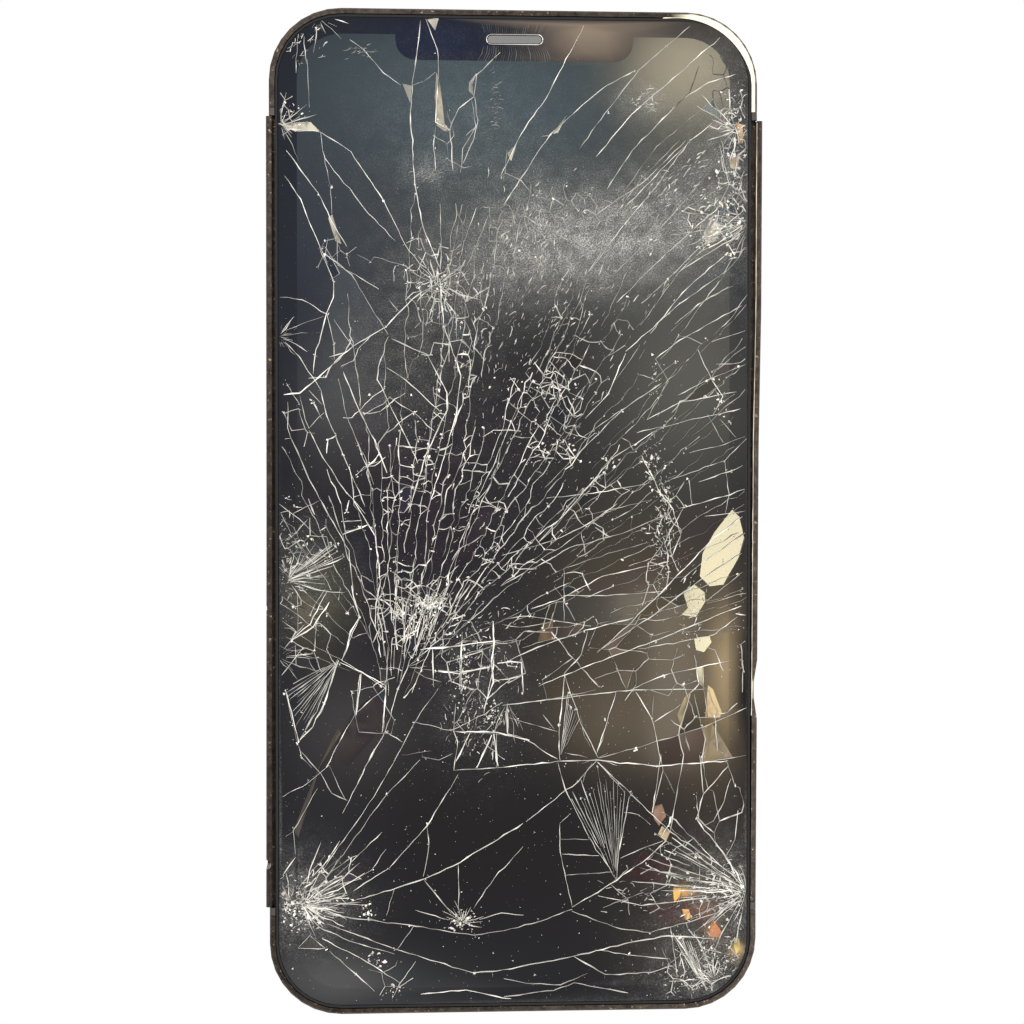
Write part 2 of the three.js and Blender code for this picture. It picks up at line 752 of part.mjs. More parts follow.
const topCracks = [
  [327, 26, 367, 55, 384, 76, 402, 88],
  [422, 15, 420, 40, 414, 79, 411, 121, 415, 186, 423, 229, 440, 270],
  [424, 14, 438, 52, 439, 72, 436, 124, 450, 131, 453, 172],
  [501, 53, 477, 76, 474, 98, 459, 110, 450, 131],
  [472, 102, 476, 127, 463, 150, 460, 174],
  [279, 133, 322, 136, 352, 155, 384, 203, 405, 246, 422, 269],
  [322, 136, 326, 162, 364, 210, 396, 243],
  [288, 155, 319, 196, 331, 222, 348, 250],
  [286, 180, 302, 203, 315, 236, 328, 267],
  [592, 11, 577, 39, 546, 98, 521, 134, 500, 177],
  [696, 18, 668, 43, 639, 68, 605, 112, 579, 148],
  [636, 68, 607, 84, 577, 109, 550, 134, 520, 179, 504, 204],
  [721, 34, 679, 71, 632, 112, 596, 155],
  [737, 70, 709, 79, 684, 95, 632, 148, 607, 187],
  [732, 104, 691, 137, 666, 162, 625, 205],
  [720, 140, 730, 180, 707, 227],
];

const leftCracks = [
  [326, 250, 333, 262, 352, 277, 371, 309, 388, 336],
  [281, 301, 303, 303, 327, 317, 334, 346, 334, 362],
  [320, 250, 334, 284, 334, 300, 327, 316, 315, 360, 313, 377],
  [286, 346, 300, 360, 321, 393, 326, 417, 343, 457, 364, 508],
  [334, 365, 353, 348, 386, 328, 412, 300, 422, 293],
  [388, 338, 378, 369, 377, 381, 398, 424, 417, 464],
  [391, 340, 426, 355, 446, 393, 446, 410, 424, 457, 407, 513],
  [439, 279, 443, 324, 460, 376, 455, 415, 439, 470, 429, 500],
  [343, 374, 358, 410, 376, 448, 386, 474],
  [338, 381, 346, 417, 360, 453, 373, 486],
  [309, 433, 326, 465, 346, 495, 364, 515],
  [279, 443, 291, 441, 309, 482, 329, 519],
  [284, 398, 300, 396, 331, 369],
  [321, 505, 348, 552, 352, 596, 358, 619, 340, 662],
  [353, 503, 374, 538, 379, 583, 374, 605, 374, 631],
  [326, 593, 309, 626, 290, 643, 302, 650, 276, 683],
  [340, 662, 360, 674, 383, 689, 353, 715],
  [358, 676, 353, 715, 340, 738, 324, 769],
  [410, 655, 396, 689, 383, 732, 362, 770],
  [436, 688, 410, 726, 391, 762],
];

const middleCracks = [
  [412, 722, 448, 730, 482, 713, 500, 701],
  [453, 703, 451, 731, 455, 741, 451, 770],
  [491, 620, 491, 665, 481, 713],
  [460, 631, 458, 655, 457, 689],
  [436, 670, 463, 672, 489, 665],
  [500, 662, 536, 645, 584, 627, 632, 614],
  [754, 502, 714, 532, 679, 568, 632, 616, 595, 650],
  [748, 543, 696, 577, 648, 614, 595, 648],
  [741, 600, 693, 620, 652, 637, 607, 654, 536, 684],
  [529, 607, 561, 595, 600, 573, 668, 557],
  [500, 584, 568, 545, 621, 530, 661, 512],
  [500, 554, 550, 539, 587, 521, 616, 500],
  [654, 427, 611, 455, 577, 496, 536, 541],
  [641, 452, 660, 490, 672, 505, 680, 530, 671, 552],
  [562, 566, 562, 618],
  [586, 627, 579, 652, 562, 671, 579, 721, 595, 754],
  [562, 675, 557, 723, 557, 757],
  [500, 704, 577, 693, 632, 686, 702, 684],
  [629, 686, 661, 671, 730, 655],
  [614, 689, 605, 718, 595, 748],
  [634, 688, 650, 714, 659, 754, 650, 809],
  [689, 689, 677, 730, 682, 750, 668, 827],
  [625, 348, 679, 300, 727, 266],
  [655, 355, 679, 336, 743, 300],
  [655, 355, 668, 377, 646, 416],
  [698, 345, 712, 375, 723, 391, 712, 411],
  [677, 391, 712, 373, 746, 359],
  [646, 416, 679, 398, 737, 386],
  [636, 429, 707, 411, 748, 402],
  [670, 475, 725, 455, 752, 427],
  [677, 504, 730, 489, 752, 480],
  [584, 416, 607, 391, 625, 350],
  [543, 486, 582, 446, 621, 407, 661, 379],
  [545, 496, 598, 489, 644, 480],
];

const footCracks = [
  [500, 766, 555, 759, 595, 757, 655, 762, 727, 755],
  [451, 770, 500, 766],
  [555, 759, 562, 786, 586, 834, 614, 877],
  [595, 757, 575, 779, 523, 820],
  [595, 759, 629, 791, 668, 827, 709, 855, 737, 873],
  [627, 793, 616, 850, 614, 877],
  [568, 811, 557, 821, 557, 850, 569, 905],
  [569, 905, 614, 877, 646, 854, 664, 837],
  [569, 909, 618, 926, 648, 929, 714, 909, 748, 891],
  [500, 930, 536, 920, 569, 907],
  [500, 969, 571, 954, 629, 939, 666, 932, 711, 934],
  [595, 893, 639, 902, 682, 896, 704, 893],
  [629, 878, 696, 883, 748, 887],
  [570, 954, 602, 972, 648, 969, 670, 962],
  [500, 996, 550, 989, 571, 981, 625, 990],
  [670, 929, 693, 961, 716, 986],
  [702, 789, 695, 814, 725, 852, 734, 870],
  [326, 917, 405, 926, 470, 935, 500, 930],
  [324, 926, 391, 950, 470, 973, 500, 969],
  [319, 941, 357, 960, 396, 984],
  [326, 953, 352, 976, 371, 993],
  [350, 893, 386, 869, 424, 826, 455, 774],
  [360, 900, 422, 879, 457, 862, 520, 822],
  [417, 995, 462, 990, 507, 998],
  [340, 815, 357, 781, 372, 750],
  [322, 881, 384, 795, 417, 760],
  [298, 753, 319, 776, 329, 795, 345, 802],
];

const impactRays = [
  ...rays(300, 910, 15, 160, 13, 26, 70),
  ...rays(437, 285, -45, 200, 9, 26, 60),
  ...rays(415, 635, -70, 100, 14, 30, 95),
  ...rays(733, 880, 195, 330, 8, 26, 60),
  ...rays(737, 125, 190, 300, 6, 20, 45),
  ...rays(287, 583, 20, 120, 5, 25, 50),
  ...rays(338, 661, 190, 240, 5, 50, 85),
  ...rays(614, 872, -38, 8, 6, 60, 95),
  ...rays(459, 922, -60, 70, 4, 14, 24),
];

// Flakes gone from the glass edge: x, y of each on the sheet and its radius in millimetres
const chips = [
  [755, 690, 1.5],
  [757, 128, 1.2],
  [276, 338, 0.9],
  [271, 900, 1.3],
  [751, 888, 1.2],
  [322, 15, 1.1],
];

function chip([px, py, radius]) {
  const { x, y } = onGlass(px, py);
  return new THREE.CylinderGeometry(radius, radius * CHIP_TAPER, CHIP_DEPTH, CHIP_SIDES)
    .rotateX(Math.PI / 2)
    .translate(x, y, BODY_T - CHIP_DEPTH / 2 + CRACK_ABOVE);
}

function buildDisplay() {
  const plate = bevelled(inset(coverInset), coverLow, BODY_T, COVER_EDGE);
  const slot = prism(capsule(SLOT_W, SLOT_H, 0, slotY), coverLow - ROOM, BODY_T + ROOM);
  const paths = [...topCracks, ...leftCracks, ...middleCracks, ...footCracks, ...impactRays];
  const cracks = paths.map((path) => groove(path, CRACK_W));
  addPiece("cover_glass", cut(plate, [slot, ...cracks, ...chips.map(chip)]), "blackGlass");

  const meshTop = BODY_T - MESH_DROP;
  const meshShape = capsule(SLOT_W - 2 * BOND, SLOT_H - 2 * BOND, 0, slotY);
  addPiece("earpiece_mesh", prism(meshShape, meshTop - MESH_T, meshTop), "greyPlastic");

  const around = [...rightTop, ...leftTop, ...leftFoot, ...rightFoot];
  addPiece("display_gasket", sweepRim(gasketSection, around, true), "darkPlastic");
  addPiece("display_panel", prism(notched(PANEL_INSET), panelLow, panelTop), "darkPlastic");
  addPiece("display_backing", prism(notched(BACKING_INSET), backingLow, backingTop), "brightMetal");
}

// Modules behind the notch

const moduleTop = wallY - ROOM;
const moduleY = moduleTop - FRONT_CAMERA_W / 2;
const eyeY = halfL - coverInset - NOTCH_H / 2;
const frontHigh = coverLow - BOND;
const frontBodyHigh = bayTop - BOND;
const frontBodyLow = frontBodyHigh - FRONT_MODULE_T;

function buildNotchModules() {
  addPiece("earpiece_speaker", join([
    prism(
      roundedRect(EARPIECE_W, EARPIECE_L, FRONT_MODULE_R, 0, moduleTop - EARPIECE_L / 2),
      frontBodyLow, frontBodyHigh),
    prism(capsule(SLOT_W - 2 * FIT, SLOT_H, 0, slotY), frontBodyLow + BOND, frontHigh),
  ]), "darkPlastic");
  addPiece("front_camera", join([
    prism(
      roundedRect(FRONT_CAMERA_W, FRONT_CAMERA_W, FRONT_MODULE_R, FRONT_CAMERA_X, moduleY),
      frontBodyLow, frontBodyHigh),
    disc(FRONT_BARREL_D, FRONT_CAMERA_X, eyeY, frontBodyLow + BOND, frontHigh, HOLE_SIDES),
  ]), "darkPlastic");
  const eyes = [-1, 1].map((side) => {
    const x = SENSOR_X + side * SENSOR_EYE_PITCH / 2;
    return disc(SENSOR_EYE_D, x, eyeY, frontBodyLow + BOND, frontHigh, HOLE_SIDES);
  });
  addPiece("face_sensor", join([
    prism(
      roundedRect(SENSOR_W, FRONT_CAMERA_W, FRONT_MODULE_R, SENSOR_X, moduleY),
      frontBodyLow, frontBodyHigh),
    ...eyes,
  ]), "darkPlastic");
}

// Back glass with its camera island, lenses and flash

const islandX = PHONE_W / 2 - ISLAND_MARGIN - ISLAND_W / 2;
const islandY = halfL - ISLAND_MARGIN - ISLAND_L / 2;
const lensX = islandX + ISLAND_W / 2 - LENS_SIDE;
const flashX = islandX - ISLAND_W / 2 + FLASH_SIDE;
const lensPlaces = { upper: islandY + LENS_PITCH / 2, lower: islandY - LENS_PITCH / 2 };

function buildBack() {
  const plate = bevelled(inset(backInset), 0, BACK_T, BACK_EDGE);
  const islandShape = roundedRect(ISLAND_W, ISLAND_L, ISLAND_R, islandX, islandY);
  const island = bevelled(islandShape, -ISLAND_H, BACK_T - BACK_EDGE, BACK_EDGE);
  const holes = Object.values(lensPlaces).map(
    (y) => disc(LENS_TUBE_D + 2 * FIT, lensX, y, -ISLAND_H - ROOM, BACK_T + ROOM));
  const flashHole = disc(FLASH_D + 2 * FIT, flashX, islandY, -ISLAND_H - ROOM, BACK_T + ROOM);
  addPiece("back_glass", cut(join([plate, island]), [...holes, flashHole]), "blackGlass");
  addPiece("flash_window", disc(FLASH_D, flashX, islandY, -ISLAND_H + FIT, BACK_T), "flashYellow");

  const seat = -ISLAND_H - BOND;
  const lowest = -ISLAND_H - LENS_PROUD;
  const windowSeat = lowest + FIT + LENS_WINDOW_T + FIT;
  const ring = [
    [LENS_BORE_D / 2, lowest],
    [LENS_D / 2 - FIT, lowest],
    [LENS_D / 2, lowest + FIT],
    [LENS_D / 2, seat],
    [LENS_TUBE_D / 2, seat],
    [LENS_TUBE_D / 2, BACK_T],
    [CAMERA_BARREL_D / 2 + FIT, BACK_T],
    [CAMERA_BARREL_D / 2 + FIT, windowSeat],
    [LENS_BORE_D / 2, windowSeat],
  ];
  for (const [place, y] of Object.entries(lensPlaces)) {
    addPiece(`lens_ring_${place}`, turned(ring).translate(lensX, y, 0), "brightMetal");
    const windowLow = lowest + FIT;
    const lens = disc(LENS_BORE_D - 2 * BOND, lensX, y, windowLow, windowLow + LENS_WINDOW_T);
    addPiece(`lens_window_${place}`, lens, "lensGlass");
    addPiece(`camera_${place}`, join([
      prism(roundedRect(CAMERA_BODY, CAMERA_BODY, CAMERA_R, lensX, y), bayLow, frontBodyHigh),
      disc(CAMERA_BARREL_D, lensX, y, windowSeat + BOND, bayLow + BOND),
    ]), "darkPlastic");
  }
}

// Inner plate, charging coil, battery and board

function buildMid() {
  const plate = prism(inset(midInset), midLow, midTop, CORNER_STEPS / 2);
  const holes = Object.values(lensPlaces).map(
    (y) => disc(CAMERA_BARREL_D + 2 * FIT, lensX, y, midLow - ROOM, midTop + ROOM));
  addPiece("mid_plate", cut(plate, holes), "brightMetal");

  const coil = new THREE.Shape();
  coil.absarc(0, COIL_Y, COIL_OUTER, 0, Math.PI * 2);
  const eye = new THREE.Path();
  eye.absarc(0, COIL_Y, COIL_INNER, 0, Math.PI * 2);
  coil.holes.push(eye);
  addPiece("charging_coil", prism(coil, shelfZ, coilTop, COIL_STEPS), "copper");
}

const boardLeft = -bayX + ROOM + DOME_T + BUTTON_FLANGE_T + BUTTON_TRAVEL + 2 * FIT;
const boardRight = boardLeft + BOARD_W;
const boardTop = halfL - BOARD_TOP_GAP;
const boardFoot = trayY + TRAY_PLATE_L / 2 + FIT + READER_WALL + ROOM;
const boardHigh = bayLow + BOARD_T;
const cameraLeft = lensX - CAMERA_BODY / 2 - ROOM;
const cameraFoot = lensPlaces.lower - CAMERA_BODY / 2 - ROOM;
const batteryFoot = -halfL + BOTTOM_BAY + FRAME_WALL;
const powerDomeX = flangeStart(1, powerY, POWER_L)
  - BUTTON_FLANGE_T - 2 * FIT - BUTTON_TRAVEL - DOME_T;

function buildBoard() {
  const armFoot = boardTop - BOARD_ARM;
  addPiece("main_board", prism(polygon([
    [boardLeft, boardFoot],
    [boardRight, boardFoot],
    [boardRight, armFoot],
    [cameraLeft, armFoot],
    [cameraLeft, boardTop],
    [boardLeft, boardTop],
  ]), bayLow, boardHigh), "boardGreen");

  const cans = {
    upper: [
      boardLeft + SHIELD_INSET, cameraLeft - SHIELD_INSET,
      armFoot + SHIELD_INSET, boardTop - SHIELD_INSET,
    ],
    lower: [
      boardLeft + SHIELD_INSET, boardRight - SHIELD_INSET,
      boardFoot + SHIELD_INSET, armFoot - CABLE_W - SHIELD_INSET,
    ],
  };
  const low = boardHigh + BOND;
  for (const [place, [x0, x1, y0, y1]] of Object.entries(cans)) {
    const canShape = roundedRect(x1 - x0, y1 - y0, SHIELD_R, (x0 + x1) / 2, (y0 + y1) / 2);
    const can = prism(canShape, low, low + SHIELD_T);
    const hollow = block(
      x0 + SHIELD_WALL, x1 - SHIELD_WALL, y0 + SHIELD_END_WALL, y1 - SHIELD_END_WALL,
      low - ROOM, low + SHIELD_T - SHIELD_WALL);
    addPiece(`board_shield_${place}`, cut(can, [hollow]), "brightMetal");
  }

  const cableX = (boardLeft + boardRight) / 2;
  const cableFoot = armFoot - CABLE_W;
  const cableHigh = backingLow - BOND;
  const ribbon = polygon([
    [cableFoot, boardHigh + BOND],
    [cableFoot + CABLE_W / 2, boardHigh + BOND],
    [cableFoot + CABLE_W / 2 + CABLE_T, cableHigh - CABLE_T],
    [cableFoot + CABLE_W, cableHigh - CABLE_T],
    [cableFoot + CABLE_W, cableHigh],
    [cableFoot + CABLE_W / 2, cableHigh],
    [cableFoot + CABLE_W / 2 - CABLE_T, boardHigh + BOND + CABLE_T],
    [cableFoot, boardHigh + BOND + CABLE_T],
  ]);
  addPiece("display_cable", sidePrism(ribbon, cableX - CABLE_W / 2, cableX + CABLE_W / 2), "copper");

  const batteryLeft = boardRight + ROOM;
  const batteryRight = powerDomeX - ROOM;
  const batteryHigh = cameraFoot - BATTERY_BELOW_CAMERAS;
  const batteryShape = roundedRect(
    batteryRight - batteryLeft, batteryHigh - batteryFoot, BATTERY_R,
    (batteryLeft + batteryRight) / 2, (batteryFoot + batteryHigh) / 2);
  const battery = bevelled(batteryShape, bayLow, bayTop - ROOM, BATTERY_EDGE, SMALL_STEPS);
  addPiece("battery", battery, "darkPlastic");
}

// Bottom bay: socket, its board, loudspeaker, vibration motor and the two end screws

function buildBottom() {
  const front = -halfL + FIT;
  const socketEnd = front + SOCKET_DEPTH;
  const shell = endPrism(capsule(SOCKET_W, SOCKET_H, 0, sideZ), front, socketEnd);
  const mouth = capsule(SOCKET_W - 2 * SOCKET_WALL, SOCKET_H - 2 * SOCKET_WALL, 0, sideZ);
  const cavity = endPrism(mouth, front - ROOM, socketEnd - SOCKET_WALL);
  const tongue = block(
    -TONGUE_W / 2, TONGUE_W / 2, front + TONGUE_GAP, socketEnd - SOCKET_WALL / 2,
    sideZ - TONGUE_T / 2, sideZ + TONGUE_T / 2);
  addPiece("charging_socket", join([cut(shell, [cavity]), tongue]), "brightMetal");

  const boardRightEnd = SPEAKER_FROM_MIDDLE - ROOM;
  const chargeFoot = -bayY;
  const notchX = SOCKET_W / 2 + FIT;
  const notchTop = socketEnd + FIT;
  const board = prism(polygon([
    [-bayX + bayCorner, chargeFoot],
    [-notchX, chargeFoot],
    [-notchX, notchTop],
    [notchX, notchTop],
    [notchX, chargeFoot],
    [boardRightEnd, chargeFoot],
    [boardRightEnd, notchTop + CHARGE_BRIDGE],
    [-bayX + bayCorner, notchTop + CHARGE_BRIDGE],
  ]), bayLow, bayLow + CHARGE_BOARD_T);
  addPiece("charging_board", board, "boardGreen");

  const speakerTop = batteryFoot - ROOM;
  const speaker = prism(polygon([
    [SPEAKER_FROM_MIDDLE, -bayY],
    [bayX - bayCorner, -bayY],
    [bayX, -bayY + bayCorner],
    [bayX, speakerTop],
    [SPEAKER_FROM_MIDDLE, speakerTop],
  ]), bayLow, bayTop - ROOM);
  const plenum = block(
    SPEAKER_FROM_MIDDLE + PLENUM_WALL, bayX - bayCorner - PLENUM_WALL,
    -bayY - ROOM, -bayY + PLENUM_DEPTH, sideZ - PLENUM_H / 2, sideZ + PLENUM_H / 2);
  addPiece("loudspeaker", cut(speaker, [plenum]), "darkPlastic");

  const motorTop = batteryFoot - ROOM;
  const motorShape = roundedRect(MOTOR_W, MOTOR_L, MOTOR_R, -bayX + MOTOR_W / 2, motorTop - MOTOR_L / 2);
  const motor = bevelled(motorShape, bayLow, bayLow + MOTOR_T, MOTOR_EDGE, SMALL_STEPS);
  addPiece("vibration_motor", motor, "brightMetal");

  const shank = SCREW_SHANK_D / 2;
  const screw = [
    [0, 0],
    [SCREW_HEAD_D / 2, 0],
    [SCREW_HEAD_D / 2, SCREW_HEAD_T],
    [shank, SCREW_HEAD_T],
    [shank, SCREW_L],
    [0, SCREW_L],
  ].map(([radius, height]) => new THREE.Vector2(radius, height));
  for (const [name, side] of [["left", -1], ["right", 1]]) {
    const turnedScrew = new THREE.LatheGeometry(screw, HOLE_SIDES);
    addPiece(`bottom_screw_${name}`, turnedScrew.translate(side * SCREW_X, -halfL, sideZ), "wornMetal");
  }
}

buildBands();
buildBreaks();
buildRails();
buildControls();
buildTray();
buildDisplay();
buildNotchModules();
buildBack();
buildMid();
buildBoard();
buildBottom();

export default root;
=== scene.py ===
"""Looks of a flat-sided phone with a shattered, still-bonded front glass."""
import json
import math
import random

import bpy
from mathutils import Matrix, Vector
from mathutils.geometry import delaunay_2d_cdt


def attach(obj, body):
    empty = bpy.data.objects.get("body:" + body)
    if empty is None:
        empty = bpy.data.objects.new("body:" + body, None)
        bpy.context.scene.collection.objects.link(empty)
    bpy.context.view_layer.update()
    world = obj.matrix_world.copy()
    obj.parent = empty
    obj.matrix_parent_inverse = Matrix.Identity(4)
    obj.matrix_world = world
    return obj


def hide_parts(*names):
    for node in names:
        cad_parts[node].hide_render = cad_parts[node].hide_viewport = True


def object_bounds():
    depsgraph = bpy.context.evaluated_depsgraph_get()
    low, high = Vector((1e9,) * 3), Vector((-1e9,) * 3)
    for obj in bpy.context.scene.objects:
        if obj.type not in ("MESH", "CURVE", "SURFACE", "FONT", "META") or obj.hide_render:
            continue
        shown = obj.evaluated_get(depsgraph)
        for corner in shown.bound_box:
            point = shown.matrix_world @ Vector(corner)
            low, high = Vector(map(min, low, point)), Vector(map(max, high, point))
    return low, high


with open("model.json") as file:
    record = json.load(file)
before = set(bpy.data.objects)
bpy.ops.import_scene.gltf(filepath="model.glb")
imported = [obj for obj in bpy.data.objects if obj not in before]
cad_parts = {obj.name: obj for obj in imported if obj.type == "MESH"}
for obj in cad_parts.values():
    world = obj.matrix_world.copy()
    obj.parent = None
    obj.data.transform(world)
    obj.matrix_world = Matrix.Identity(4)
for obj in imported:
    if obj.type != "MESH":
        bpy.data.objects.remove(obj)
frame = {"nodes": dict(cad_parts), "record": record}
cad_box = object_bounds()
nodes = frame["nodes"]

MM = 0.001
rng = random.Random(11)

# Front glass, in millimetres
GLASS_X = 34.4
GLASS_Y = 72.0
GLASS_R = 9.15
GLASS_LOW = 6.75
GLASS_TOP = 7.27
GLASS_LIMIT = 7.36
RIDGE_TOP = 7.395
RIDGE_LOW = 7.1
CRACK_MARGIN = 0.08
CRUMB_MARGIN = 0.5
SPECK_MARGIN = 0.3
CRUMB_ROOT = 0.1
ACTIVE_X = 31.7
ACTIVE_Y = 69.6
ACTIVE_R = 6.6
NOTCH_X = 17.4
NOTCH_FLOOR = 65.9
NOTCH_R = 2.9
SLOT_X = 4.05
SLOT_R = 0.65
SLOT_Y = 69.05
SLOT_RIM = 0.07

# The frame's rim, in millimetres
RIM_LOW = 7.2
RIM_TOP = 7.398
CORNER_MID = (25.25, 62.85)
# The painted highlight round the top right corner of the rim: where it lies, and the crescent strip that
# carries it
HIGHLIGHT_EDGE = 10.1
HIGHLIGHT_LIMIT = 10.25
HIGHLIGHT_LOW = 6.4
HIGHLIGHT_HIGH = 6.8
CRESCENT_R = 10.24
CRESCENT_START = -8
CRESCENT_TURN = 118
CRESCENT_STEPS = 40
LIP_X = 34.95
LIP_START = -30
LIP_LENGTH = 87.3
LIP_STEPS = 59
# How far the right rail has sprung outward: y, spread
LIP_SPREAD = [(-57.5, 0.0), (10.0, 0.35), (30.0, 0.7), (57.5, 0.8)]

# The sheet the cracks are drawn on: x to the right, y down, 1000 units to the phone's length
SHEET_MID_X = 512.9
SHEET_MID_Y = 510.9
SHEET_SCALE = 0.1467
SHEET_LEAN = 0.0047
SHEET_TILT = 0.02
SHEET_FAN = 2.55e-5


def on_glass(px, py):
    across = px - SHEET_MID_X
    up = SHEET_MID_Y - py
    x = SHEET_SCALE * (across - SHEET_LEAN * up)
    y = SHEET_SCALE * (up - across * (SHEET_TILT - SHEET_FAN * up))
    return x, y


def on_sheet(x, y):
    across, up = x / SHEET_SCALE, y / SHEET_SCALE
    for _ in range(3):
        across = x / SHEET_SCALE + SHEET_LEAN * up
        up = y / SHEET_SCALE + across * (SHEET_TILT - SHEET_FAN * up)
    return SHEET_MID_X + across, SHEET_MID_Y - up


def in_rounded(x, y, half_x, half_y, radius):
    dx = max(abs(x) - (half_x - radius), 0)
    dy = max(abs(y) - (half_y - radius), 0)
    return math.hypot(dx, dy) <= radius and abs(x) <= half_x and abs(y) <= half_y


def on_cover(x, y, margin):
    return in_rounded(x, y, GLASS_X - margin, GLASS_Y - margin, GLASS_R)


def in_slot(x, y):
    return math.hypot(max(abs(x) - (SLOT_X - SLOT_R), 0), y - SLOT_Y) < SLOT_R


def in_active(x, y):
    if not in_rounded(x, y, ACTIVE_X, ACTIVE_Y, ACTIVE_R):
        return False
    if y < NOTCH_FLOOR or abs(x) > NOTCH_X:
        return True
    dx = max(abs(x) - (NOTCH_X - NOTCH_R), 0)
    dy = max(NOTCH_FLOOR + NOTCH_R - y, 0)
    return math.hypot(dx, dy) > NOTCH_R


def ellipse(px, py, x, y, half_x, half_y, lean=0):
    cos, sin = math.cos(math.radians(lean)), math.sin(math.radians(lean))
    dx, dy = px - x, py - y
    u, v = dx * cos - dy * sin, dx * sin + dy * cos
    return math.exp(-((u / half_x) ** 2 + (v / half_y) ** 2))


def away(x, y, bearing, reach):
    """The point at a reach from x, y on the sheet, its bearing clockwise from the top."""
    return x + reach * math.sin(bearing), y - reach * math.cos(bearing)


def placed(x, y, across, down, lean):
    """The point across and down from x, y on the sheet, on axes turned by lean degrees."""
    cos, sin = math.cos(math.radians(lean)), math.sin(math.radians(lean))
    return x + across * cos + down * sin, y - across * sin + down * cos


def mixed(first, second, share):
    return tuple(a + (b - a) * share for a, b in zip(first, second))


def sides(face):
    """The sides of a face, each with a key that the face beyond it shares."""
    return [(a, b, (min(a, b), max(a, b))) for a, b in zip(face, face[1:] + face[:1])]


# Cracks seen one by one: paths on the sheet

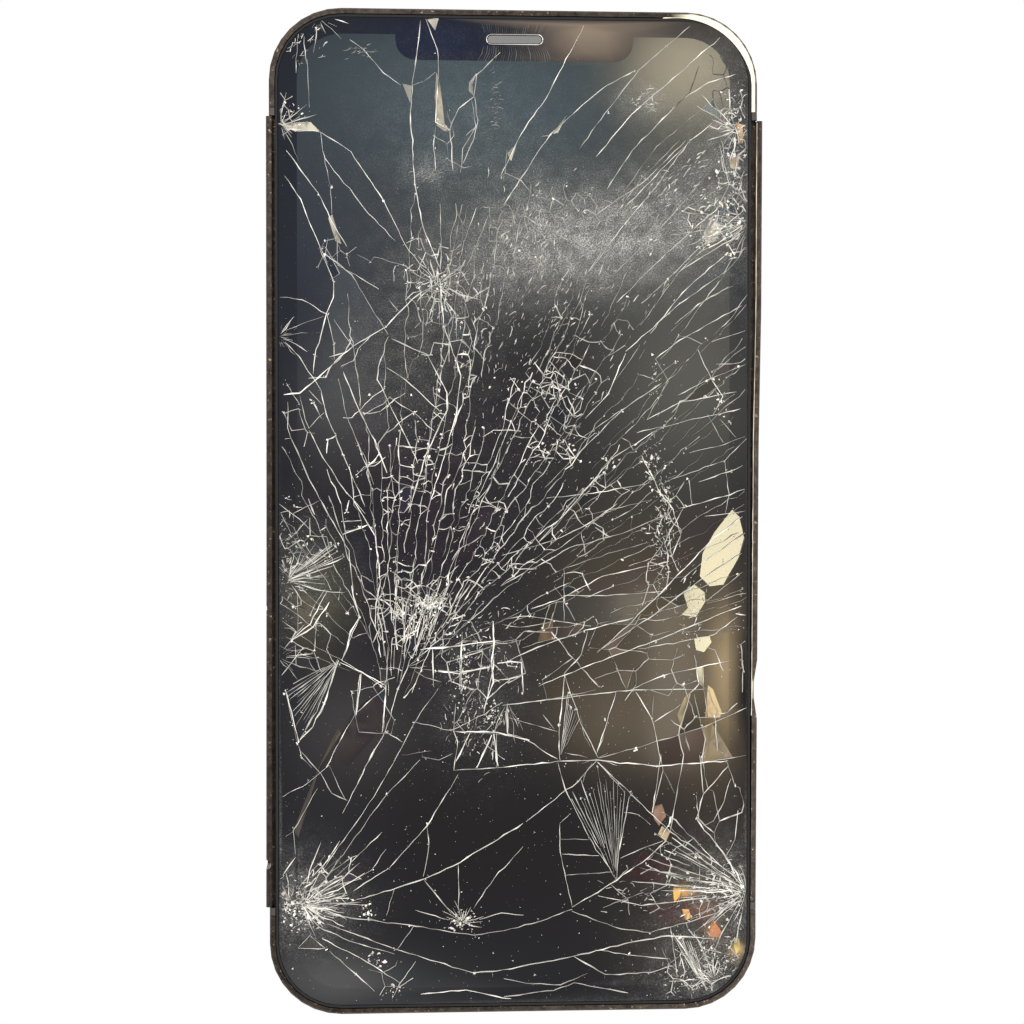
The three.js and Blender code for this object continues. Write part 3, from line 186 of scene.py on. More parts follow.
TRACED = [
    [327, 26, 367, 55, 384, 76, 402, 88],
    [422, 15, 420, 40, 414, 79, 411, 121, 415, 186, 423, 229, 440, 270],
    [424, 14, 438, 52, 439, 72, 436, 124, 450, 131, 453, 172],
    [501, 53, 477, 76, 474, 98, 459, 110, 450, 131],
    [472, 102, 476, 127, 463, 150, 460, 174],
    [279, 133, 322, 136, 352, 155, 384, 203, 405, 246, 422, 269],
    [322, 136, 326, 162, 364, 210, 396, 243],
    [288, 155, 319, 196, 331, 222, 348, 250],
    [286, 180, 302, 203, 315, 236, 328, 267],
    [592, 11, 577, 39, 546, 98, 521, 134, 500, 177],
    [696, 18, 668, 43, 639, 68, 605, 112, 579, 148],
    [636, 68, 607, 84, 577, 109, 550, 134, 520, 179, 504, 204],
    [721, 34, 679, 71, 632, 112, 596, 155],
    [737, 70, 709, 79, 684, 95, 632, 148, 607, 187],
    [732, 104, 691, 137, 666, 162, 625, 205],
    [720, 140, 730, 180, 707, 227],
    [326, 250, 333, 262, 352, 277, 371, 309, 388, 336],
    [281, 301, 303, 303, 327, 317, 334, 346, 334, 362],
    [320, 250, 334, 284, 334, 300, 327, 316, 315, 360, 313, 377],
    [286, 346, 300, 360, 321, 393, 326, 417, 343, 457, 364, 508],
    [334, 365, 353, 348, 386, 328, 412, 300, 422, 293],
    [388, 338, 378, 369, 377, 381, 398, 424, 417, 464],
    [391, 340, 426, 355, 446, 393, 446, 410, 424, 457, 407, 513],
    [439, 279, 443, 324, 460, 376, 455, 415, 439, 470, 429, 500],
    [343, 374, 358, 410, 376, 448, 386, 474],
    [338, 381, 346, 417, 360, 453, 373, 486],
    [309, 433, 326, 465, 346, 495, 364, 515],
    [279, 443, 291, 441, 309, 482, 329, 519],
    [284, 398, 300, 396, 331, 369],
    [321, 505, 348, 552, 352, 596, 358, 619, 340, 662],
    [353, 503, 374, 538, 379, 583, 374, 605, 374, 631],
    [326, 593, 309, 626, 290, 643, 302, 650, 276, 683],
    [340, 662, 360, 674, 383, 689, 353, 715],
    [358, 676, 353, 715, 340, 738, 324, 769],
    [410, 655, 396, 689, 383, 732, 362, 770],
    [436, 688, 410, 726, 391, 762],
    [412, 722, 448, 730, 482, 713, 500, 701],
    [453, 703, 451, 731, 455, 741, 451, 770],
    [491, 620, 491, 665, 481, 713],
    [460, 631, 458, 655, 457, 689],
    [436, 670, 463, 672, 489, 665],
    [500, 662, 536, 645, 584, 627, 632, 614],
    [754, 502, 714, 532, 679, 568, 632, 616, 595, 650],
    [748, 543, 696, 577, 648, 614, 595, 648],
    [741, 600, 693, 620, 652, 637, 607, 654, 536, 684],
    [529, 607, 561, 595, 600, 573, 668, 557],
    [500, 584, 568, 545, 621, 530, 661, 512],
    [500, 554, 550, 539, 587, 521, 616, 500],
    [654, 427, 611, 455, 577, 496, 536, 541],
    [641, 452, 660, 490, 672, 505, 680, 530, 671, 552],
    [562, 566, 562, 618],
    [586, 627, 579, 652, 562, 671, 579, 721, 595, 754],
    [562, 675, 557, 723, 557, 757],
    [500, 704, 577, 693, 632, 686, 702, 684],
    [629, 686, 661, 671, 730, 655],
    [614, 689, 605, 718, 595, 748],
    [634, 688, 650, 714, 659, 754, 650, 809],
    [689, 689, 677, 730, 682, 750, 668, 827],
    [625, 348, 679, 300, 727, 266],
    [655, 355, 679, 336, 743, 300],
    [655, 355, 668, 377, 646, 416],
    [698, 345, 712, 375, 723, 391, 712, 411],
    [677, 391, 712, 373, 746, 359],
    [646, 416, 679, 398, 737, 386],
    [636, 429, 707, 411, 748, 402],
    [670, 475, 725, 455, 752, 427],
    [677, 504, 730, 489, 752, 480],
    [584, 416, 607, 391, 625, 350],
    [543, 486, 582, 446, 621, 407, 661, 379],
    [545, 496, 598, 489, 644, 480],
    [500, 766, 555, 759, 595, 757, 655, 762, 727, 755],
    [451, 770, 500, 766],
    [555, 759, 562, 786, 586, 834, 614, 877],
    [595, 757, 575, 779, 523, 820],
    [595, 759, 629, 791, 668, 827, 709, 855, 737, 873],
    [627, 793, 616, 850, 614, 877],
    [568, 811, 557, 821, 557, 850, 569, 905],
    [569, 905, 614, 877, 646, 854, 664, 837],
    [569, 909, 618, 926, 648, 929, 714, 909, 748, 891],
    [500, 930, 536, 920, 569, 907],
    [500, 969, 571, 954, 629, 939, 666, 932, 711, 934],
    [595, 893, 639, 902, 682, 896, 704, 893],
    [629, 878, 696, 883, 748, 887],
    [570, 954, 602, 972, 648, 969, 670, 962],
    [500, 996, 550, 989, 571, 981, 625, 990],
    [670, 929, 693, 961, 716, 986],
    [702, 789, 695, 814, 725, 852, 734, 870],
    [326, 917, 405, 926, 470, 935, 500, 930],
    [324, 926, 391, 950, 470, 973, 500, 969],
    [319, 941, 357, 960, 396, 984],
    [326, 953, 352, 976, 371, 993],
    [350, 893, 386, 869, 424, 826, 455, 774],
    [360, 900, 422, 879, 457, 862, 520, 822],
    [417, 995, 462, 990, 507, 998],
    [340, 815, 357, 781, 372, 750],
    [322, 881, 384, 795, 417, 760],
    [298, 753, 319, 776, 329, 795, 345, 802],
]

FINE = [
    [326, 160, 331, 189, 333, 217],
    [329, 241, 326, 257, 341, 269, 362, 281, 379, 291],
    [338, 241, 338, 268, 352, 277],
    [388, 300, 400, 314],
    [357, 257, 371, 264, 374, 259, 405, 267, 419, 278],
    [309, 64, 311, 112],
    [300, 43, 298, 78],
    [305, 35, 309, 69],
    [334, 322, 346, 340, 353, 348],
    [286, 334, 296, 330, 324, 319],
    [383, 352, 385, 371, 383, 391, 388, 429, 377, 445, 379, 453],
    [441, 297, 455, 314, 456, 340],
    [309, 393, 322, 407],
    [300, 398, 305, 422, 309, 431, 324, 415],
    [288, 405, 288, 431, 291, 441],
    [386, 369, 405, 381, 441, 414],
    [388, 398, 414, 414, 433, 431],
    [391, 482, 419, 489],
    [279, 507, 298, 521, 319, 541],
    [291, 517, 319, 503],
    [278, 546, 293, 538, 307, 522],
    [293, 540, 307, 557],
    [291, 588, 300, 602, 312, 610, 324, 591],
    [296, 593, 297, 634],
    [276, 619, 297, 636],
    [303, 655, 317, 679],
    [336, 661, 315, 714, 296, 745],
    [284, 693, 291, 727, 300, 760, 310, 770],
    [386, 648, 384, 683, 381, 731],
    [383, 732, 400, 743],
    [419, 757, 436, 760, 450, 753],
    [505, 712, 505, 731],
    [451, 731, 508, 733, 520, 736],
    [494, 732, 494, 765],
    [272, 891, 293, 860],
    [319, 874, 371, 798, 398, 750],
    [324, 888, 379, 833],
    [333, 891, 369, 871, 383, 850],
    [324, 910, 369, 897],
    [315, 929, 346, 943, 391, 955],
    [412, 962, 396, 984, 388, 1001],
    [410, 927, 393, 951],
    [391, 890, 383, 917],
    [448, 914, 420, 879],
    [455, 910, 455, 862],
    [470, 908, 491, 877, 520, 845],
    [445, 920, 412, 911],
    [476, 919, 498, 912, 520, 914],
    [424, 826, 426, 846, 420, 877],
    [274, 803, 307, 784, 327, 767],
    [327, 767, 343, 802],
    [315, 791, 291, 833, 293, 857],
    [277, 845, 291, 834],
    [295, 951, 322, 951, 307, 938, 295, 951],
    [748, 886, 637, 864],
    [748, 886, 646, 855],
    [748, 886, 670, 845],
    [598, 948, 625, 952, 666, 955],
    [500, 978, 523, 982, 557, 983, 584, 971],
    [668, 923, 671, 946, 675, 973],
    [693, 961, 712, 939],
    [704, 970, 723, 959],
    [709, 977, 729, 970],
    [730, 904, 739, 918, 748, 929],
    [659, 750, 661, 766, 655, 791, 650, 809],
    [661, 766, 673, 789],
    [698, 750, 702, 789],
    [727, 761, 702, 789],
    [730, 773, 723, 796, 712, 816, 702, 821],
    [737, 805, 734, 834, 725, 850],
    [621, 809, 636, 811, 648, 821],
    [618, 855, 637, 846, 661, 837],
    [557, 837, 587, 837],
    [559, 852, 596, 853],
    [562, 873, 611, 869],
    [745, 527, 696, 562, 679, 577],
    [748, 562, 705, 596],
    [743, 587, 707, 598],
    [737, 611, 714, 629, 679, 637, 637, 645],
    [737, 623, 707, 630],
    [561, 593, 605, 592, 661, 587],
    [562, 566, 614, 548, 648, 538],
    [559, 500, 564, 511, 555, 523, 536, 541],
    [668, 529, 671, 552, 677, 568],
    [552, 584, 561, 595, 573, 618],
    [652, 689, 650, 714],
    [693, 650, 698, 679, 689, 688],
    [702, 661, 702, 682, 707, 712],
    [693, 689, 700, 720, 704, 734, 700, 759],
    [652, 718, 679, 700],
    [596, 755, 632, 745, 705, 721, 746, 702],
    [696, 759, 745, 750],
    [614, 664, 625, 686, 632, 664],
    [500, 679, 523, 671],
    [520, 659, 521, 691],
    [505, 711, 505, 732, 525, 739, 555, 757],
    [505, 716, 555, 729],
    [500, 618, 527, 614, 552, 618, 589, 623],
    [500, 623, 518, 626, 548, 620],
    [675, 320, 698, 300, 729, 282],
    [712, 337, 746, 325],
    [716, 359, 741, 357, 750, 350],
    [707, 409, 723, 437],
    [720, 414, 736, 432],
    [689, 448, 725, 439, 752, 427],
    [698, 477, 729, 466, 750, 457],
    [704, 511, 737, 507, 754, 502],
    [725, 457, 729, 489, 725, 509],
    [571, 443, 614, 411, 661, 379],
    [564, 518, 650, 496],
    [736, 86, 714, 96, 657, 143, 625, 187],
    [686, 137, 643, 180, 593, 214],
    [757, 218, 679, 268],
    [507, 150, 505, 173, 521, 180, 532, 193],
    [287, 583, 309, 559],
    [287, 583, 343, 559],
    [287, 583, 334, 567],
    [287, 583, 324, 586],
    [287, 583, 319, 593],
    [680, 137, 643, 174, 613, 215],
    [688, 140, 656, 184, 620, 227, 590, 268],
    [710, 167, 688, 193, 650, 236, 613, 272],
    [725, 197, 688, 230, 643, 272, 616, 300],
    [746, 204, 699, 244, 669, 274, 641, 300],
    [757, 215, 718, 230, 679, 268, 656, 300, 640, 322],
    [757, 242, 727, 249, 688, 283, 673, 300, 650, 330],
    [733, 281, 712, 291, 699, 300, 668, 330],
    [700, 62, 690, 90, 668, 110],
    [413, 88, 424, 84, 436, 74],
    [475, 98, 478, 122, 474, 140, 463, 165],
    [436, 128, 434, 150, 436, 172],
    [423, 226, 418, 236, 419, 250],
    [440, 205, 441, 240, 440, 270],
    [462, 205, 457, 230, 450, 262],
    [476, 208, 466, 236, 458, 262],
    [488, 215, 476, 246, 464, 270],
]

# Cracks with a broad, crushed edge
BROAD = [
    [460, 637, 459, 660, 458, 692],
    [491, 622, 492, 641, 489, 664, 491, 681, 481, 708],
    [435, 671, 456, 673, 487, 666],
    [491, 681, 521, 673],
    [495, 662, 508, 660, 519, 661, 521, 690],
    [430, 646, 431, 687],
    [418, 650, 456, 645, 468, 643, 498, 639],
    [453, 731, 495, 731, 525, 738],
    [504, 710, 505, 731],
    [491, 733, 495, 765],
    [489, 734, 474, 767],
    [468, 731, 453, 761],
    [338, 664, 359, 673, 384, 687],
    [337, 662, 322, 706, 311, 729, 296, 745],
    [284, 692, 297, 745],
    [359, 675, 354, 716],
    [384, 687, 380, 733],
    [328, 604, 312, 629, 290, 643],
    [358, 618, 349, 633, 345, 652, 340, 662],
    [342, 536, 368, 526],
    [350, 587, 353, 604, 358, 618],
]

# Rays from impacts: x, y, first and last bearing in degrees clockwise from the top,
# how many, shortest and longest reach on the sheet, width in millimetres, brightness
RAYS = [
    (300, 908, 10, 165, 24, 14, 85, 0.2, 1.0),
    (287, 905, -60, 10, 9, 10, 30, 0.15, 0.9),
    (437, 285, -60, 240, 22, 14, 48, 0.14, 0.9),
    (428, 606, -60, 100, 20, 8, 34, 0.15, 1.0),
    (404, 668, 30, 110, 7, 20, 50, 0.12, 0.9),
    (745, 884, 190, 350, 16, 20, 80, 0.18, 1.0),
    (737, 125, 185, 320, 20, 14, 50, 0.15, 0.9),
    (752, 215, 200, 290, 14, 20, 85, 0.12, 0.8),
    (279, 340, 20, 160, 12, 10, 36, 0.13, 0.8),
    (287, 583, 15, 100, 16, 18, 62, 0.13, 0.9),
    (276, 660, 40, 140, 8, 15, 50, 0.12, 0.8),
    (459, 922, -100, 100, 16, 8, 24, 0.15, 1.0),
    (592, 756, -160, 150, 8, 14, 50, 0.11, 0.8),
    (283, 130, 10, 170, 12, 12, 40, 0.14, 0.9),
    (320, 22, 90, 230, 12, 10, 42, 0.13, 0.8),
    (712, 975, 250, 380, 14, 15, 50, 0.17, 1.0),
    (505, 700, 150, 215, 8, 20, 60, 0.12, 0.8),
]

# Shell-like wedges: tip, far edge, how many lines, width, brightness
WEDGES = [
    ([613, 876], [562, 788, 577, 776, 595, 760, 612, 776, 628, 793], 17, 0.085, 0.62),
    ([557, 756], [566, 682, 572, 698, 580, 716], 8, 0.09, 0.75),
    ([338, 661], [282, 690, 288, 718, 298, 746], 13, 0.085, 0.75),
    ([287, 583], [322, 548, 336, 544, 345, 558], 9, 0.085, 0.8),
    ([706, 990], [668, 930, 676, 926, 690, 932], 9, 0.10, 0.8),
]

# Sectors of the great fan: x, y of its heart, first and last bearing, inner and outer reach,
# spacing between rays at the outer reach, spacing of rungs, width, brightness
SECTORS = [
    (388, 738, -10, 27, 48, 150, 8.5, 40, 0.10, 0.9),
    (398, 700, -6, 42, 62, 150, 9, 18, 0.11, 1.0),
    (398, 690, -75, -28, 60, 230, 20, 44, 0.08, 0.7),
    (398, 700, -28, -6, 60, 270, 15, 24, 0.10, 0.9),
    (390, 735, -6, 22, 75, 410, 13, 19, 0.115, 0.95),
    (398, 690, 22, 37, 60, 375, 13, 19, 0.115, 0.95),
    (404, 672, 37, 56, 45, 300, 15, 24, 0.11, 0.9),
    (404, 672, 56, 82, 40, 200, 20, 34, 0.10, 0.75),
    (390, 735, 2, 24, 400, 545, 11, 30, 0.10, 0.66),
    (404, 672, 22, 52, 340, 520, 11, 60, 0.09, 0.62),
    (404, 672, 44, 82, 200, 420, 19, 220, 0.075, 0.6),
    (748, 886, 268, 314, 20, 112, 8, 8, 0.10, 0.95),
    (748, 886, 222, 268, 20, 74, 9, 9, 0.10, 0.9),
    (284, 906, 34, 112, 22, 80, 8, 9, 0.11, 1.0),
    (746, 222, 236, 292, 14, 70, 9, 9, 0.10, 0.9),
]

# Patches of fragments: x, y, half sizes, cell sizes, lean in degrees, width, brightness
PATCHES = [
    (738, 150, 20, 95, 11, 16, 10, 0.14, 0.8),
    (728, 215, 26, 34, 10, 14, 30, 0.14, 0.8),
    (698, 962, 42, 38, 15, 19, 35, 0.13, 0.8),
    (664, 540, 18, 78, 13, 22, -15, 0.13, 0.8),
    (300, 545, 26, 44, 17, 20, 20, 0.12, 0.8),
    (312, 640, 26, 40, 19, 26, 25, 0.12, 0.75),
    (286, 118, 14, 30, 10, 13, 0, 0.13, 0.8),
    (296, 420, 20, 40, 19, 26, 20, 0.11, 0.7),
    (334, 262, 22, 26, 16, 19, 30, 0.11, 0.65),
    (474, 690, 36, 75, 30, 36, 12, 0.12, 0.8),
    (540, 660, 60, 60, 46, 40, 20, 0.11, 0.7),
    (640, 640, 60, 50, 34, 24, 20, 0.11, 0.7),
    (700, 700, 40, 60, 26, 34, 15, 0.11, 0.7),
    (745, 590, 10, 90, 14, 24, 0, 0.12, 0.7),
    (455, 140, 22, 40, 20, 28, 10, 0.11, 0.6),
    (437, 300, 40, 60, 15, 22, 15, 0.12, 0.75),
    (540, 225, 70, 36, 11, 16, 20, 0.09, 0.5),
    (640, 890, 45, 26, 24, 18, 10, 0.11, 0.7),
    (390, 975, 30, 20, 24, 20, 20, 0.11, 0.6),
    (720, 800, 30, 50, 26, 30, 10, 0.11, 0.65),
    (385, 720, 30, 60, 30, 44, 30, 0.11, 0.7),
    (545, 402, 52, 40, 13, 17, 35, 0.10, 0.9),
]

cracks = []


def keep_on_glass(points):
    runs, run = [], []
    for point in points:
        x, y = point
        if on_cover(x, y, CRACK_MARGIN) and not in_slot(x, y):
            run.append(point)
        elif run:
            runs.append(run)
            run = []
    runs.append(run)
    return [part for part in runs if len(part) > 1]


def roughened(points, step, wander):
    out = [points[0]]
    for (x0, y0), (x1, y1) in zip(points, points[1:]):
        length = math.hypot(x1 - x0, y1 - y0)
        if length < 1e-6:
            continue
        count = max(1, round(length / step))
        nx, ny = -(y1 - y0) / length, (x1 - x0) / length
        for i in range(1, count + 1):
            share = i / count
            shift = rng.gauss(0, wander) if i < count else rng.gauss(0, wander / 2)
            out.append((x0 + (x1 - x0) * share + nx * shift, y0 + (y1 - y0) * share + ny * shift))
    return out


def add_crack(path, width, bright, step=1.1, wander=0.07, tip=0.4):
    points = roughened([on_glass(*p) for p in path], step, wander)
    for part in keep_on_glass(points):
        cracks.append((part, width, bright, tip))


def pairs_of(flat):
    return list(zip(flat[0::2], flat[1::2]))


flecks = []

# Widths in millimetres, brightness, and the share of bends with a fleck
LINES = [(TRACED, (0.08, 0.14), (0.55, 1.0), 0.5), (FINE, (0.065, 0.11), (0.4, 0.9), 0.4)]

for paths, widths, brights, share in LINES:
    for flat in paths:
        add_crack(pairs_of(flat), rng.uniform(*widths), rng.uniform(*brights), 1.1, 0.05)
        flecks.extend(p for p in pairs_of(flat)[1:-1] if rng.random() < share)

for flat in BROAD:
    add_crack(pairs_of(flat), rng.uniform(0.15, 0.21), 1.0, 1.1, 0.05)
    flecks.extend(p for p in pairs_of(flat) if rng.random() < 0.6)

for x, y, first, last, count, near, far, width, bright in RAYS:
    for i in range(count):
        bearing = math.radians(first + (last - first) * (i + rng.uniform(-0.4, 0.4)) / max(count - 1, 1))
        reach = near + (far - near) * rng.random() ** 1.6
        start = rng.uniform(0.03, 0.3) * reach
        bend = bearing + rng.uniform(-0.1, 0.1)
        path = [away(x, y, bearing, start), away(x, y, bend, reach * 0.55), away(x, y, bearing, reach)]
        add_crack(path, width * rng.uniform(0.5, 1.0), bright * rng.uniform(0.4, 1), tip=0.2)

for tip, edge, count, width, bright in WEDGES:
    edge = pairs_of(edge)
    for i in range(count):
        along = (i + 0.5 + rng.uniform(-0.2, 0.2)) / count * (len(edge) - 1)
        k = min(int(along), len(edge) - 2)
        ex, ey = (edge[k][j] + (edge[k + 1][j] - edge[k][j]) * (along - k) for j in (0, 1))
        near, far = rng.uniform(0.05, 0.4), rng.uniform(0.8, 1.0)
        ends = [(tip[0] + (ex - tip[0]) * share, tip[1] + (ey - tip[1]) * share) for share in (near, far)]
        add_crack(ends, width * rng.uniform(0.7, 1.3), bright * rng.uniform(0.5, 1), 1.3, 0.03, 0.5)
        if rng.random() < 0.5:
            flecks.append(ends[1])


# Places in the fan where rungs crowd together
crowds = [(rng.uniform(360, 640), rng.uniform(290, 640), rng.uniform(12, 34)) for _ in range(46)]


def crowding(px, py):
    return 0.3 + 1.2 * max(ellipse(px, py, x, y, size, size) for x, y, size in crowds)


def add_sector(hx, hy, first, last, near, far, spacing, rung, width, bright):
    """Long wavering rays that thin out towards the heart, with short bowed rungs between neighbours."""
    count = max(3, int(math.radians(last - first) * far / spacing))
    rays = []
    for i in range(count):
        bearing = math.radians(first + (last - first) * (i + 0.5 + rng.uniform(-0.4, 0.4)) / count)
        sin, cos = math.sin(bearing), math.cos(bearing)
        halvings = 0
        while halvings < 4 and (i >> halvings) % 2 == 0:
            halvings += 1
        reach = max(near, far / 2 ** (halvings + 1)) * rng.uniform(0.8, 1.2)
        end = far * rng.uniform(0.7, 1.1)
        trail, side = [], 0.0
        while reach < end:
            side = 0.85 * side + rng.gauss(0, 1.25) * min(1, reach / 140)
            trail.append((reach, hx + reach * sin + side * cos, hy - reach * cos + side * sin))
            reach += rng.uniform(5, 10)
        rays.append(trail)
    for trail in rays:
        start = 0
        while start < len(trail) - 1:
            stop = start + rng.randint(2, 6)
            part = [point[1:] for point in trail[start:stop + 1]]
            add_crack(part, width * rng.uniform(0.5, 1.25), bright * rng.uniform(0.25, 1), 0.9, 0.04, 0.8)
            if rng.random() < 0.4:
                flecks.append(part[-1])
            start = stop
    for i, trail in enumerate(rays):
        for reach, px, py in trail:
            if rng.random() > crowding(px, py) * 8 / rung:
                continue
            ends = [(math.dist((px, py), point[1:]), point) for other in rays[i + 1:i + 4] for point in other
                    if abs(point[0] - reach) < 0.8 * rung]
            gap, other = rng.choice(sorted(ends)[:3] or [(99, None)])
            if 2 < gap < 30:
                bow = rng.gauss(0.05, 0.16) * gap
                out_x, out_y = (px - hx) / reach, (py - hy) / reach
                middle = ((px + other[1]) / 2 + bow * out_x, (py + other[2]) / 2 + bow * out_y)
                add_crack([(px, py), middle, other[1:]], width * rng.uniform(0.7, 1.5),
                          bright * rng.uniform(0.4, 1), 0.7, 0.05, 1.0)
                flecks.extend(p for p in ((px, py), other[1:]) if rng.random() < 0.4)


for sector in SECTORS:
    add_sector(*sector)

# Odd cracks that run slantwise across the fan, whose heart is at FAN_X, FAN_Y
SLANT_CRACKS = 26
FAN_X = 398
FAN_Y = 690

for _ in range(SLANT_CRACKS):
    bearing, reach = rng.uniform(-20, 75), rng.uniform(60, 360)
    path = []
    for _ in range(rng.randint(3, 6)):
        path.append(away(FAN_X, FAN_Y, math.radians(bearing), reach))
        bearing += rng.uniform(0.8, 3)
        reach += rng.uniform(-2, 14)
    add_crack(path, rng.uniform(0.09, 0.16), rng.uniform(0.5, 1), 0.8, 0.06, 0.6)
    flecks.extend(p for p in path if rng.random() < 0.4)


def cell_edges(columns, rows):
    """Edges of the cells round jittered lattice points, in lattice units."""
    seeds = []
    for j in range(-1, rows + 1):
        for i in range(-1, columns + 1):
            seeds.append(Vector((i + j % 2 / 2 + rng.uniform(-0.36, 0.36), j + rng.uniform(-0.36, 0.36))))
    flat, _, faces, _, _, _ = delaunay_2d_cdt(seeds, [], [], 0, 1e-5)
    centres, beside, out = [], {}, []
    for face in faces:
        (ax, ay), (bx, by), (cx, cy) = (flat[v] for v in face)
        d = 2 * (ax * (by - cy) + bx * (cy - ay) + cx * (ay - by))
        a2, b2, c2 = ax * ax + ay * ay, bx * bx + by * by, cx * cx + cy * cy
        centres.append(((a2 * (by - cy) + b2 * (cy - ay) + c2 * (ay - by)) / d,
                        (a2 * (cx - bx) + b2 * (ax - cx) + c2 * (bx - ax)) / d))
    for k, face in enumerate(faces):
        for _, _, key in sides(face):
            if key in beside:
                out.append((centres[beside[key]], centres[k]))
            beside[key] = k
    return out


for x, y, half_x, half_y, cell_x, cell_y, lean, width, bright in PATCHES:
    columns, rows = int(2.6 * half_x / cell_x) + 1, int(2.6 * half_y / cell_y) + 1
    for ends in cell_edges(columns, rows):
        path, far_out = [], 0
        for u, v in ends:
            du, dv = (u - columns / 2 + 0.5) * cell_x, (v - rows / 2 + 0.5) * cell_y
            far_out = max(far_out, (du / half_x) ** 2 + (dv / half_y) ** 2)
            path.append(placed(x, y, du, dv, lean))
        if far_out < rng.uniform(0.5, 1.6) and rng.random() < 0.88:
            add_crack(path, width * rng.uniform(0.6, 1.4), bright * rng.uniform(0.35, 1), 0.9, 0.05, 0.9)
            if rng.random() < 0.25:
                flecks.append(path[0])


# Fields of short broken squiggles: x, y, half sizes, lean, how many, bearing they follow, spread, brightness
SQUIGGLES = [
    (600, 245, 105, 42, 12, 240, 40, 14, 0.5),
    (530, 240, 45, 48, 0, 220, 20, 30, 0.75),
    (560, 320, 90, 60, 20, 220, 32, 16, 0.75),
    (480, 330, 40, 90, 0, 130, 10, 25, 0.8),
    (668, 190, 50, 26, 35, 150, 50, 20, 0.75),
    (738, 150, 14, 85, 0, 110, 60, 90, 0.8),
    (722, 215, 26, 34, 0, 90, 50, 20, 0.8),
    (492, 112, 7, 42, 0, 70, 75, 20, 0.3),
    (428, 176, 14, 9, 0, 50, 60, 15, 0.35),
    (358, 55, 16, 5, 0, 30, 75, 15, 0.3),
    (437, 285, 26, 34, 0, 120, 20, 90, 0.9),
    (416, 612, 20, 46, 18, 60, 18, 14, 1.0),
    (475, 640, 36, 50, 0, 100, 40, 90, 0.9),
    (470, 720, 26, 50, 0, 80, 0, 60, 0.9),
    (300, 906, 24, 18, 0, 130, 90, 60, 1.0),
    (728, 884, 32, 22, 0, 150, 280, 50, 0.95),
    (700, 965, 40, 34, 0, 160, 330, 70, 0.8),
    (290, 560, 16, 60, 0, 80, 60, 80, 0.8),
    (640, 890, 50, 24, 0, 50, 80, 40, 0.7),
    (645, 98, 16, 12, 0, 50, 60, 60, 0.5),
    (540, 440, 60, 50, 30, 90, 38, 30, 0.9),
    (480, 530, 50, 60, 30, 70, 50, 40, 0.9),
    (664, 520, 12, 66, 0, 150, 330, 60, 0.95),
    (690, 600, 14, 40, 0, 50, 30, 60, 0.8),
    (305, 40, 20, 24, 0, 60, 40, 60, 0.8),
]

squiggles = []


def add_squiggles():
    for x, y, half_x, half_y, lean, count, bearing, spread, bright in SQUIGGLES:
        for _ in range(count):
            px, py = placed(x, y, rng.gauss(0, 0.55) * half_x, rng.gauss(0, 0.55) * half_y, lean)
            turn = math.radians(bearing + rng.gauss(0, 0.6) * spread)
            path = [(px, py)]
            for _ in range(rng.choice((1, 1, 1, 2, 3))):
                step = rng.uniform(1.2, 3.8)
                px, py = away(px, py, turn, step)
                turn += rng.uniform(-0.6, 0.6)
                path.append((px, py))
            for part in keep_on_glass([on_glass(*p) for p in path]):
                squiggles.append((part, rng.uniform(0.07, 0.16), bright * rng.uniform(0.35, 1), 0.5))


add_squiggles()

# Skin-print ridges smeared over the earpiece
for i in range(30):
    above = ((478 + 2.4 * i, 17), (485 + 2.0 * i, 34))
    below = ((484 + 2.1 * i, 47), (478 + 2.5 * i, 62))
    for top, foot in (above, below):
        middle = ((top[0] + foot[0]) / 2 + 1.5, (top[1] + foot[1]) / 2)
        for part in keep_on_glass([on_glass(*p) for p in (top, middle, foot)]):
            squiggles.append((part, 0.07, rng.uniform(0.05, 0.16), 0.6))

# Shards that have lifted at the right edge: corners on the sheet, and tilt in degrees across and up
LIFTED = [
    ([732, 504, 740, 511, 745, 532, 739, 552, 723, 579, 709, 581, 699, 571, 702, 548, 714, 527], 3.3, 0.0),
    ([682, 587, 694, 580, 704, 587, 705, 596, 695, 612, 680, 610, 687, 603], 3.4, 0.0),
    ([693, 634, 709, 631, 711, 637, 703, 647, 695, 645], 3.6, 1.5),
]
lifted = [([on_glass(*p) for p in pairs_of(flat)], across, up) for flat, across, up in LIFTED]
